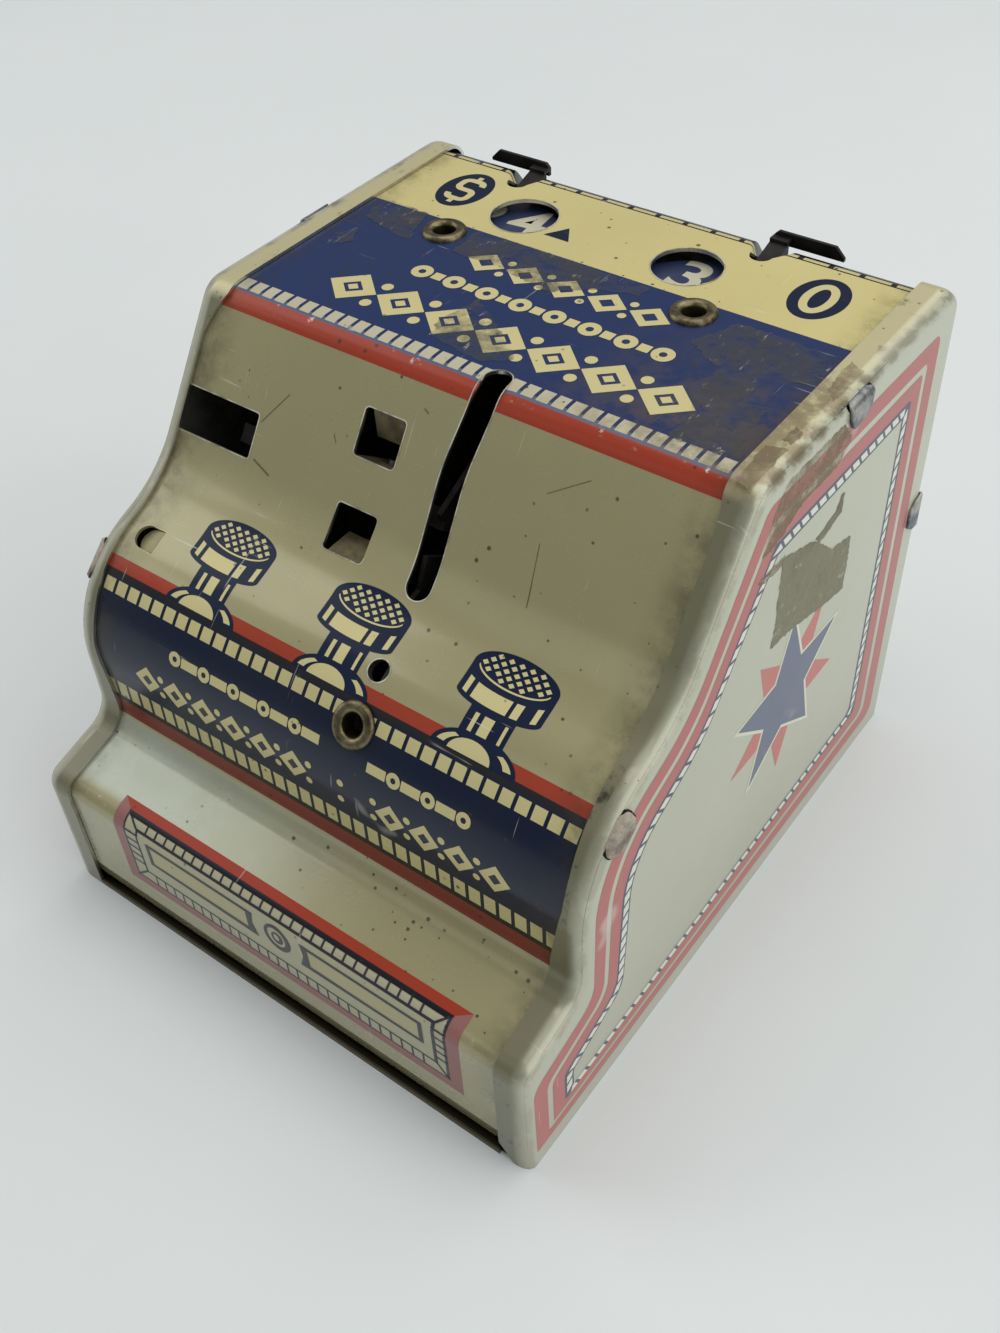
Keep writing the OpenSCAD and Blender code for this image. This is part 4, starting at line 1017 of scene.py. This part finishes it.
def make_tabs(side):
    """Three crimp tabs of one side, folded over the pan. The shoulder's is painted, and a dark strip under it
    is a painted shadow of the gap round it.
    """
    shoulder = out_of_band(TAB_BAND_A)
    spots = {"top": ((TAB_TOP_Y, TOP - WALL_IN), (0, 1)), "back": ((BACK - WALL_IN, TAB_BACK_Z), (1, 0)),
             "shoulder": (wrap.bends[BAND][2] + (OUTLINE_R[BAND] - WALL_IN) * shoulder, shoulder)}
    path = fold_path(WALL_IN + FIT + SHEET / 2, TAB_L, 0.45)
    away = np.abs(2 * np.linspace(0, 1, len(path)) - 1)
    inwards = np.array([-side, 0.0, 0.0])
    for label, (spot, out) in spots.items():
        up = np.array([0, *out])
        origin = np.array([side * WRAP_HALF, *spot]) - SHEET / 2 * up
        placing = set_on(origin, np.cross(inwards, up), inwards, up)
        name = f"{SIDES[side]}_{label}_crimp_tab"
        width, finish = TAB_W * np.sqrt(1 - 0.7 * away ** 5), tab_tin
        if label == "shoulder":
            width, finish = TAB_W * np.sqrt(1 - 0.8 * away ** 4), painted_tab
            # Painted shadow: a dark strip just under the shoulder tab, a little wider than it, outlines the
            # gap round the tab.
            folded_strip(f"{name}_seam", path + (0.12, -0.1), width + 0.35, 0.2, placing, black_steel_and_shadow, 0.05)
        folded_strip(name, path, width, SHEET, placing, finish, 0.15)


def on_skin(x, s):
    """The point and the outward and upward directions of the wrap's skin at a place of the flat sheet."""
    flat = np.array([[x, s]])
    up = wrap.normal(flat[:, 1])[0]
    return wrap.place(flat, 0.0)[0] / MM, up, np.cross(up, (1.0, 0.0, 0.0))


def make_ears():
    """The ears that hold the lever's pin, at the web's edges, and the flaps at the holes' outer edges."""
    for k, label in ((-1, "lower"), (1, "upper")):
        point, up, slope = on_skin(SQUARE_X, wrap.after(SHELF, WEB_MID + k * (WEB_W / 2 - 0.225)))
        folded_strip(f"{label}_pin_ear", [(0, 0), (0, -1.0), (0, -2.5), (0, -PIN_DEPTH - 1.6)],
                     [SQUARE_W, SQUARE_W, SQUARE_W, SQUARE_W * 0.8], 0.4,
                     set_on(point - 0.2 * up, (1, 0, 0), slope, up), stained_tin)
        point, up, slope = on_skin(SQUARE_X, wrap.after(SHELF, WEB_MID + k * (WEB_W / 2 + SQUARE_H + 0.1)))
        folded_strip(f"{label}_bent_flap", [(0, 0), (-0.4 * k, -0.25), (-1.4 * k, -1.0), (-2.6 * k, -1.9)],
                     SQUARE_W - 0.9, 0.3,
                     set_on(point + (0.2, 0, 0) - 0.3 * up, (1, 0, 0), slope, up), stained_tin)


def make_tongue():
    """The lanced tongue: a strip that dips inwards, its end narrowing as a half circle."""
    point, up, slope = on_skin(LANCE_X, wrap.before(SHELF, LANCE_DOWN))
    dip = math.radians(LANCE_DIP)
    end = LANCE_R * np.sin(np.linspace(0, 1.45, 9))
    reach = np.concatenate([[0], LANCE_L + end])
    path = np.column_stack([-reach * math.cos(dip), -reach * math.sin(dip) - 0.18])
    width = 2 * np.sqrt(LANCE_R ** 2 - np.concatenate([[0], end]) ** 2) - 0.1
    folded_strip("lanced_tongue", path, width, 0.34, set_on(point, -slope, (1, 0, 0), up), tongue_tin, 0.03)


for side in SIDES:
    make_tabs(side)
make_ears()
make_tongue()


# Eyelets

def make_eyelet(node, point, up, length):
    """A hollow eyelet: bore, rolled rim, barrel and clinched end, turned about its axis."""
    a = np.linspace(0, math.pi, 15)
    mid, half = (EYELET_HOLE_R + EYELET_FLANGE_R) / 2, (EYELET_FLANGE_R - EYELET_HOLE_R) / 2
    rim = np.column_stack([mid + half * np.cos(a), EYELET_FLANGE_H * np.sin(a) ** 0.8])
    clinch, foot = EYELET_FLANGE_R + CLINCH_OUT, -length - CLINCH_T
    profile = np.vstack([
        [(EYELET_R, -length), (EYELET_R, 0.0), (EYELET_FLANGE_R - 0.1, 0.0)], rim,
        [(EYELET_HOLE_R, -0.6 * length), (EYELET_HOLE_R, foot), (clinch, foot), (clinch, -length)]])
    across = np.array([1.0, 0, 0])
    piece = turned(node.replace("eyelet", "rolled_eyelet"), profile,
                   set_on(point, across, np.cross(up, across), up), eyelet_metal, "eyelet_brass")
    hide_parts(node)


for node, x in (("dime_eyelet", DIME_X), ("dollar_eyelet", DOLLAR_X)):
    low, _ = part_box(node)
    length = TOP - WALL_IN - low.z / MM - CLINCH_T
    make_eyelet(node, (x, DIAL_Y, TOP - WALL_IN), np.array([0, 0, 1.0]), length)
point, up, _ = on_skin(BAND_HOLE_X, wrap.on_band(EYELET_A))
make_eyelet("chute_eyelet", point, up, CHUTE_EYELET_L)


# Print on the wrap, over the colour zones of its finish: loops on the flat sheet

KEY_S, KEY_XS = 52.05, (-16.9, 0.0, 16.6)
DRAWER_X, DRAWER_S = (-21.6, 24.0), (6.3, 18.55)
BAR_NEAR, BAR_FAR, BAR_LOW, BAR_HIGH, RING_S = 3.1, 18.3, 11.5, 14.95, 13.3
TOP_ROWS, BAND_ROWS = (81.4, 87.3, 92.0), (34.0, 38.4)
MONEY_X, NOUGHT_X, SIGN_Y, POINTER_Y = -20.9, 21.3, 64.35, 61.9


def make_keys():
    """Three push keys drawn on the shelf: a round cap with a knurled top, a neck and a domed foot."""
    navy = [ellipse(0.2, -8.3, 4.6, 2.35, 40, 0, 180), rectangle(-2.3, -6.6, 2.5, -3.2),
            np.vstack([ellipse(0, 0, 4.55, 1.85, 30, 0, 180), ellipse(0, -3.0, 4.55, 1.05, 30, 180, 360)])]
    cream = []
    for u0, u1 in ((-3.95, -3.4), (-2.9, 1.05), (1.45, 2.25), (3.45, 4.0)):
        u = np.linspace(u0, u1, 9)
        bow = np.sqrt(1 - (u / 4.5) ** 2)
        cream.append(between(np.column_stack([u, -2.55 - 1.05 * bow]),
                             np.column_stack([u, -0.95 - 1.15 * bow])))
    cream += [rectangle(u0, -6.15, u1, -4.35) for u0, u1 in ((-1.5, -1.05), (-0.5, 0.6), (1.72, 2.05))]
    cream.append(ellipse(-0.25, -8.2, 2.3, 1.5, 30, 0, 180))
    for start, end, rx in ((128, 168, 4.1), (14, 50, 4.15)):
        cream.append(between(ellipse(0.2, -8.3, rx, 1.95, 10, start, end),
                             ellipse(0.2, -8.3, 3.3, 1.75, 10, start, end)))
    cream.append(between(ellipse(0, 0.0, 3.95, 1.5, 30, 192, 348), ellipse(0, 0.14, 3.9, 1.46, 30, 192, 348)))
    rows, places = np.meshgrid(np.arange(-2, 3), np.arange(-4, 5), indexing="ij")
    spots = np.column_stack([(places * 1.14 + (rows % 2) * 0.57).ravel(), (0.12 + rows * 0.5).ravel()])
    on_cap = (spots[:, 0] / 3.7) ** 2 + ((spots[:, 1] - 0.15) / 1.25) ** 2 < 1
    cream += [lozenge(u, v, 0.36, 0.27) for u, v in spots[on_cap]]
    for name, loops, lift, finish in (
            ("drawn_keys_navy", navy, 0.012, navy_ink), ("drawn_keys_cream", cream, 0.022, cream_ink)):
        ink(name, [loop + (x, KEY_S) for x in KEY_XS for loop in loops], wrap, lift, finish)


def make_drawer_front():
    """The drawer front's panel: a red frame, a row of cells inside it, two long bars and a ring between them.

    The frame's four strips meet in mitres. The cells are a pale field with thin lines drawn over it.
    """
    (x0, x1), (s0, s1) = DRAWER_X, DRAWER_S
    a, b, c, d = x0 + 1.5, x1 - 1.5, s0 + 1.3, s1 - 1.05
    e, f, g, h = x0 + 3.45, x1 - 3.0, s0 + 3.1, s1 - 2.6
    red = [np.array([(x0, s1), (a, d), (b, d), (x1, s1)])]
    faded = [np.array([(x0, s0), (x0, s1), (a, d), (a, c)]), np.array([(x0, s0), (a, c), (b, c), (x1, s0)]),
             np.array([(x1, s0), (b, c), (b, d), (x1, s1)])]
    black = [np.array([(a, d), (a + 0.35, d - 0.55), (b - 0.35, d - 0.55), (b, d)])]
    field = [rectangle(a, c, b, d)]
    lines = [[rectangle(a, c, b, d), rectangle(a + 0.26, c + 0.24, b - 0.34, d - 0.24)],
             [rectangle(e - 0.16, g - 0.16, f + 0.2, h + 0.2),
              rectangle(e + 0.16, g + 0.14, f - 0.24, h - 0.14)]]
    for low, high in ((c, g), (h, d)):
        lines += [rectangle(x - 0.12, low, x + 0.12, high) for x in np.arange(e + 1.2, f - 0.5, 1.345)]
    for left, right in ((a, e), (f, b)):
        lines += [rectangle(left, s - 0.12, right, s + 0.12) for s in np.arange(g + 1.1, h - 0.5, 1.2)]
    mitres = ((a, c), (e, g)), ((a, d), (e, h)), ((b, c), (f, g)), ((b, d), (f, h))
    lines += [stroke(ends, 0.24) for ends in mitres]
    middle = (x0 + x1) / 2 + 0.2
    bars = []
    for way in (-1, 1):
        near, far = middle + way * BAR_NEAR, middle + way * BAR_FAR
        outer = np.array([(near, BAR_HIGH), (near + way * 0.35, (BAR_LOW + BAR_HIGH) / 2),
                          (near - way * 0.25, BAR_LOW - 0.2), (far, BAR_LOW), (far, BAR_HIGH)])
        inner = np.array([(near + way * 1.0, BAR_HIGH - 0.4), (near + way * 1.05, BAR_LOW + 0.4),
                          (far - way * 0.5, BAR_LOW + 0.4), (far - way * 0.5, BAR_HIGH - 0.4)])
        lines.append([outer, inner])
        bars.append(inner)
    s = RING_S + 0.05
    lines.append([ellipse(middle, RING_S, 1.75, 1.95), ellipse(middle - 0.12, s, 1.2, 1.45)])
    lines.append([ellipse(middle, RING_S, 0.75, 0.9, 24), ellipse(middle - 0.1, s, 0.4, 0.55, 24)])
    for name, shapes, lift, finish in (
            ("drawer_red_edge", red, 0.012, red_ink), ("drawer_faded_edges", faded, 0.012, faded_red_ink),
            ("drawer_pale_field", field, 0.012, pale_ink), ("drawer_bars", bars, 0.018, bar_ink),
            ("drawer_dark_lines", lines, 0.022, line_ink), ("drawer_black_line", black, 0.058, black_ink)):
        ink(name, shapes, wrap, lift, finish)


def in_row(half, pitch, draw, clear=0.0):
    """What draw makes at each place of an even row, but for those within a clear width of the band's hole."""
    places = [x for x in np.arange(-half, half + 0.1, pitch) if abs(x - BAND_HOLE_X) > clear]
    return [shape for x in places for shape in draw(x)]


def make_friezes():
    """Rows of lozenges, beads and bars on the navy fields of the top and of the band."""
    def ringed(s, outer, inner):
        """A lozenge with a lozenge hole."""
        return lambda x: [[lozenge(x, s, *outer), lozenge(x, s, *inner)]]

    def beads(s, away, r):
        """A pair of dots above and below a row."""
        return lambda x: [ellipse(x, s + k, r, n=20) for k in (-away, away)]

    def eye(s, outer, inner):
        """A bead with a hole."""
        return lambda x: [[ellipse(x, s, outer, n=24), ellipse(x, s, inner, n=16)]]

    low, middle, high = TOP_ROWS
    large = ringed(low, (2.95, 2.65), (1.3, 1.15))
    cream = in_row(18.0, 6.0, lambda x: large(x) + [lozenge(x, low, 0.7, 0.62)])
    cream += in_row(15.0, 6.0, beads(low, 1.7, 0.62))
    cream += in_row(14.0, 4.0, eye(middle, 1.15, 0.4))
    cream += in_row(12.0, 4.0, lambda x: [rectangle(x - 0.62, middle - 0.6, x + 0.62, middle + 0.6)])
    cream += in_row(9.6, 4.8, ringed(high, (2.25, 1.85), (0.95, 0.78)))
    cream += in_row(7.2, 4.8, beads(high, 1.15, 0.45))
    ink("top_frieze", cream, wrap, 0.014, cream_ink)
    low, high = BAND_ROWS
    cream = in_row(22.0, 4.0, ringed(low, (1.75, 1.65), (0.7, 0.66)), 3.6)
    cream += in_row(20.0, 4.0, beads(low, 1.0, 0.4))
    cream += in_row(16.0, 4.0, lambda x: [rectangle(x - 1.1, high - 0.55, x + 1.1, high + 0.5)], 3.2)
    cream += in_row(18.0, 4.0, eye(high, 0.8, 0.3), 3.0)
    ink("band_frieze", cream, wrap, 0.014, band_cream_ink)


def make_top_signs():
    """The signs on the pale rear strip: navy ovals with a nought and a money sign, and a small pointer."""
    s, tip = wrap.top(FRONT + SIGN_Y), wrap.top(FRONT + POINTER_Y)
    navy = [ellipse(x, s, 2.8, 3.9, 60) for x in (MONEY_X, NOUGHT_X)]
    navy.append(np.array([(-8.1, tip - 1.1), (-5.0, tip - 1.1), (-6.5, tip + 1.3)]))
    ink("top_navy_signs", navy, wrap, 0.012, navy_ink)
    nought = [ellipse(NOUGHT_X, s, 1.65, 2.85), ellipse(NOUGHT_X, s, 0.8, 1.9)]
    ink("nought_sign", [nought], wrap, 0.02, cream_ink)
    bow = [(1.2, 1.3), (1.2, 2.1), (-1.2, 2.1), (-1.2, 0), (1.2, 0), (1.2, -2.1), (-1.2, -2.1), (-1.2, -1.3)]
    sign = [stroke(bow, 0.75, [0] + [0.75] * 6 + [0])]
    sign += [rectangle(-0.3, k - 0.3, 0.3, k + 0.3) for k in (-2.79, 2.79)]
    ink("money_sign", [loop + (MONEY_X, s) for loop in sign], wrap, 0.02, cream_ink)


def make_wear():
    """Films of old glue on the top, a few deep scratches on the slope and the rubbed edges of the cuts."""
    films = [
        [(14.9, 90.4), (17.1, 95.4), (21.4, 95.5), (27.9, 95.0), (28.2, 90.1), (26.6, 89.6), (23.2, 89.5),
         (24.0, 84.5), (26.4, 85.4), (26.1, 81.4), (27.6, 77.0), (25.9, 77.0), (21.0, 76.9), (20.8, 79.7),
         (19.3, 84.9), (19.2, 88.1)],
        [(-13.9, 91.9), (-14.2, 96.8), (-4.0, 96.8), (6.8, 96.5), (6.7, 94.8), (2.9, 93.7), (-1.4, 90.5),
         (-7.8, 91.9)],
        [(-26.8, 95.1), (-26.4, 97.2), (-21.0, 96.9), (-20.4, 94.5), (-19.1, 91.6), (-21.1, 91.6),
         (-26.0, 93.0)],
        [(-26.9, 88.0), (-25.3, 90.7), (-23.9, 88.1), (-25.9, 86.1)],
        [(-7.1, 81.4), (-6.0, 85.9), (-1.0, 82.7), (3.2, 79.4), (0.7, 77.4), (-6.0, 78.5)]]
    ink("top_glue_film", torn(films, (0.0, 0.0), 0.5, 0.2), wrap, 0.055, grey_film)
    scars = [((-20.0, 63.8), (-17.5, 67.4), 0.16), ((-19.7, 60.1), (-17.3, 59.2), 0.3),
             ((-11.1, 65.6), (-10.6, 64.8), 0.14), ((12.7, 68.1), (16.4, 70.6), 0.12),
             ((14.4, 58.0), (13.6, 63.8), 0.12), ((-2.1, 71.0), (-1.5, 70.7), 0.2)]
    ink("slope_scratches", [stroke([a, b], 0.7 * w) for a, b, w in scars], wrap, 0.014, dark_scar)
    rings = [[grown, hole] for grown, hole in zip(wrap_holes(0.13), wrap_holes())]
    ink("rubbed_hole_edges", rings, wrap, 0.03, rubbed_edge)


make_keys()
make_drawer_front()
make_friezes()
make_top_signs()
make_wear()


# Print on the sides

SIDE_OUT = np.array([
    (1.3, 2.3), (1.2, 13.6), (10.8, 16.6), (11.2, 35.2), (25.2, 40.9), (36.3, 56.2), (69.6, 55.2),
    (70.4, 2.3)])
SIDE_OUT_R = [0.3, 2.0, 3.0, 12.0, 15.0, 2.0, 1.2, 1.5]
SIDE_IN = np.array([
    (7.4, 6.3), (7.4, 8.8), (15.7, 12.4), (16.9, 30.2), (27.8, 35.4), (38.9, 49.4), (63.2, 49.0),
    (63.2, 8.4)])
SIDE_IN_R = [0.0, 0.6, 3.0, 8.0, 14.0, 0.2, 0.2, 1.2]
CELLS_AT, CELL_PITCH, CELL_FILL, CELL_SLANT, CELL_HALF = 0.888, 1.62, 0.74, 0.25, 0.43
STAR = (FRONT + 44.5, 27.4)


def side_line(share):
    """The line at a share of the way from the border's outer edge to its inner one."""
    corners = SIDE_OUT + share * (SIDE_IN - SIDE_OUT) + (FRONT, 0)
    radii = [a + share * (b - a) for a, b in zip(SIDE_OUT_R, SIDE_IN_R)]
    start = (corners[0] + corners[-1]) / 2
    return bent_line(np.vstack([start, corners, start]), [0, *radii, 0])


def side_band(low, high):
    """The loop and hole loop of a border stripe between two shares of the border's width."""
    return [side_line(low)[0][:-1], side_line(high)[0][:-1]]


def make_side_border(side):
    """One side's border: two red stripes, a row of slanted white cells between slate lines, and a star pair.

    A cell is a quad between two lines of the border, its outer end moved along by the slant.
    """
    name = SIDES[side]
    face = Plane(0, HALF_W, side)
    ink(f"{name}_red_stripes", [side_band(0.0, 0.33), side_band(0.46, 0.76)], face, 0.012, side_red_ink)
    ink(f"{name}_slate_band", [side_band(0.765, 1.0)], face, 0.012, slate_ink)
    path, normals, run, _ = side_line(CELLS_AT)
    count = round(run[-1] / CELL_PITCH)
    pitch = run[-1] / count
    t = np.arange(count)[:, None] * pitch + np.array([0, CELL_FILL * pitch])
    rows = []
    for way in (1, -1):
        along = (t + way * CELL_SLANT) % run[-1]
        rows.append(follow(along, run, path) - way * CELL_HALF * follow(along, run, normals))
    quads = np.concatenate([rows[0], rows[1][:, ::-1]], 1).reshape(-1, 2)
    lay(f"{name}_white_cells", quads, np.arange(len(quads)).reshape(-1, 4), face, 0.024, white_ink)
    ink(f"{name}_star_outline", [star(*STAR, 11.2, 4.75)], face, 0.016, star_cream_ink)
    ink(f"{name}_star_red", [star(*STAR, 10.8, 4.4, 270.0)], face, 0.011, star_red_ink)
    ink(f"{name}_star_blue", [star(*STAR, 10.2, 4.3)], face, 0.022, star_blue_ink)


def make_side_wear():
    """What is stuck to the right side: a torn scrap of paper, a brown film, and bits on its upper flange."""
    face = Plane(0, HALF_W)
    paper = [
        [(40.1, 48.1), (43.3, 47.1), (46.5, 45.7), (50.7, 41.9), (54.8, 40.5), (55.1, 37.8), (55.0, 33.7),
         (50.1, 34.8), (45.7, 36.3), (42.2, 37.1), (39.7, 37.5), (40.1, 40.3), (40.0, 44.6)],
        [(46.5, 45.7), (48.1, 46.1), (50.3, 46.6), (51.3, 48.1), (51.8, 47.6), (51.6, 45.6), (49.2, 45.0),
         (47.5, 44.8)]]
    brown = [
        [(35.9, 51.1), (36.5, 53.3), (37.7, 55.6), (39.4, 57.0), (43.8, 57.0), (49.4, 56.7), (51.4, 54.1),
         (49.5, 52.6), (45.8, 52.5), (42.7, 52.6), (40.1, 51.6), (37.4, 50.8)],
        [(40.4, 48.3), (41.1, 47.3), (37.8, 47.6), (36.1, 47.8), (35.4, 48.7), (37.3, 48.7)]]
    bits = [
        [(28.8, 35.4), (28.7, 38.1), (28.5, 40.8), (30.4, 41.4), (30.5, 36.1), (30.2, 34.9)],
        [(28.8, 53.8), (28.9, 55.8), (30.5, 55.0), (30.5, 51.1), (30.3, 49.6), (29.2, 50.8)],
        [(29.4, 42.3), (29.5, 44.5), (30.5, 43.9), (30.4, 42.0)]]
    ink("side_torn_paper", torn(paper, (FRONT, 0.0), 0.45, 0.14), face, 0.034, torn_paper)
    ink("side_brown_film", torn(brown, (FRONT, 0.0), 0.45, 0.14), face, 0.03, brown_film)
    ink("flange_torn_paper", torn(bits, (0.0, FRONT), 0.4, 0.12), Plane(2, TOP), 0.012, brown_film)


for side in SIDES:
    make_side_border(side)
make_side_wear()


# Dial numerals

def glyph(sign):
    """The points and triangles of a numeral of the built-in font, centred, at the numerals' height."""
    data = bpy.data.curves.new("numeral", "FONT")
    data.body, data.offset, data.resolution_u = sign, NUMERAL_BOLD, 6
    holder = bpy.data.objects.new("numeral", data)
    bpy.context.scene.collection.objects.link(holder)
    mesh = bpy.data.meshes.new_from_object(holder.evaluated_get(bpy.context.evaluated_depsgraph_get()))
    mesh.calc_loop_triangles()
    points = np.array([tuple(v.co) for v in mesh.vertices])[:, :2]
    faces = np.array([tuple(f.vertices) for f in mesh.loop_triangles])
    bpy.data.objects.remove(holder)
    bpy.data.curves.remove(data)
    bpy.data.meshes.remove(mesh)
    low, high = points.min(0), points.max(0)
    return (points - (low + high) / 2) * NUMERAL_H / (high[1] - low[1]), faces


def make_numerals(name, x, shown, way, turn_on, body):
    """Ten numerals round a dial, each turned to stand upright when its place comes under the window."""
    window = math.radians(90 + WINDOW_A * (1 if x > 0 else -1))
    home = NUMERAL_REACH * np.array([math.cos(window), math.sin(window)])
    points, faces, count = [], [], 0
    for digit in range(10):
        flat, triangles = glyph(str(digit))
        a = math.radians(way * 36 * (digit - shown) + turn_on)
        turn = np.array([(math.cos(a), math.sin(a)), (-math.sin(a), math.cos(a))])
        points.append((flat * NUMERAL_STRETCH + home) @ turn + (x, DIAL_Y))
        faces.append(triangles + count)
        count += len(flat)
    face = Plane(2, DIAL_TOP, slot="dial_tin")
    lay(name, np.vstack(points), np.vstack(faces), face, 0.012, numeral_ink, body)


make_numerals("dime_numerals", DIME_X, 3, 1, -2.3, "dime_wheel")
make_numerals("dollar_numerals", DOLLAR_X, 4, -1, 6.5, "dollar_wheel")


# Finishes of the solids that stay

for names, finish in (
        ("base_plate", base_tin), ("trap_door", bare_tin), ("coin_chute coin_lever", oiled_steel),
        ("trap_hinge_pin dime_spacer dollar_spacer dime_washer dollar_washer", plain_steel),
        ("lever_pin lever_spring dime_ratchet carry_finger dollar_star_wheel", plain_steel),
        ("dime_lock_spring dollar_lock_spring drive_pawl", black_steel_and_shadow),
        ("pawl_rivet", eyelet_metal), ("dime_dial dollar_dial", dial_ink)):
    for name in names.split():
        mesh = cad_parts[name].data
        mesh.materials.clear()
        mesh.materials.append(finish)


# Stage, light and camera

FLOOR_HALF, LAMPS_AIM, SURROUND, SURROUND_STRENGTH = 1.2, (0, 0, 0.03), (0.93, 0.96, 1.0, 1), 0.26
LAMPS = [
    ("overhead_softbox", (0.12, 0.22, 0.62), 0.85, 3.3, (1.0, 0.985, 0.96)),
    ("right_window", (0.62, -0.02, 0.30), 0.6, 1.5, (0.96, 0.98, 1.0)),
    ("left_window", (-0.65, -0.2, 0.3), 0.5, 0.9, (1.0, 0.99, 0.97)),
    ("upper_left_softbox", (-0.45, -0.08, 0.5), 0.3, 0.4, (0.95, 0.98, 1.0)),
    ("front_left_softbox", (-0.22, -0.46, 0.46), 0.25, 0.07, (0.95, 0.98, 1.0))]
PHOTO_FOCAL, PHOTO_HEIGHT, SENSOR = 1424.34, 1333, 36.0
CAMERA_PLACE = (0.070997, -0.084675, 0.129615)
CAMERA_AXES = [(0.80255, 0.59487, -0.04523), (-0.39419, 0.58565, 0.70826), (0.44781, -0.55059, 0.70450)]


def make_stage():
    """A pale floor, soft lamps and a quiet grey surround."""
    h = FLOOR_HALF
    mesh = bpy.data.meshes.new("pale_floor")
    mesh.from_pydata([(-h, -h, 0), (h, -h, 0), (h, h, 0), (-h, h, 0)], [], [(0, 1, 2, 3)])
    floor = bpy.data.objects.new("pale_floor", mesh)
    bpy.context.scene.collection.objects.link(floor)
    material, tree, shader = new_finish("pale_floor", Roughness=0.9)
    feed(shader, Base_Color=mixed(noise(object_place(tree), 9.0, 5.0, 0.6), "dbe0e0", "e7ebea"))
    mesh.materials.append(material)
    world = bpy.data.worlds.new("grey_surround")
    world.use_nodes = True
    backdrop = world.node_tree.nodes["Background"].inputs
    backdrop["Color"].default_value = SURROUND
    backdrop["Strength"].default_value = SURROUND_STRENGTH
    bpy.context.scene.world = world
    for name, place, width, power, colour in LAMPS:
        data = bpy.data.lights.new(name, "AREA")
        data.shape, data.size, data.energy, data.color = "SQUARE", width, power, colour
        lamp = bpy.data.objects.new(name, data)
        lamp.location = place
        lamp.rotation_euler = (Vector(LAMPS_AIM) - lamp.location).to_track_quat("-Z", "Y").to_euler()
        bpy.context.scene.collection.objects.link(lamp)


def make_camera():
    """The camera that the photograph's lines lead back to, its focal length in the photo's pixels."""
    data = bpy.data.cameras.new("photo_camera")
    data.sensor_fit, data.sensor_height = "VERTICAL", SENSOR
    data.lens = SENSOR * PHOTO_FOCAL / PHOTO_HEIGHT
    data.clip_start = 0.005
    camera = bpy.data.objects.new("photo_camera", data)
    turn = Matrix(CAMERA_AXES).transposed().to_4x4()
    camera.matrix_world = Matrix.Translation(CAMERA_PLACE) @ turn
    bpy.context.scene.collection.objects.link(camera)
    bpy.context.scene.camera = camera


make_stage()
make_camera()
bpy.context.scene.view_settings.view_transform = "Standard"

bpy.context.view_layer.update()
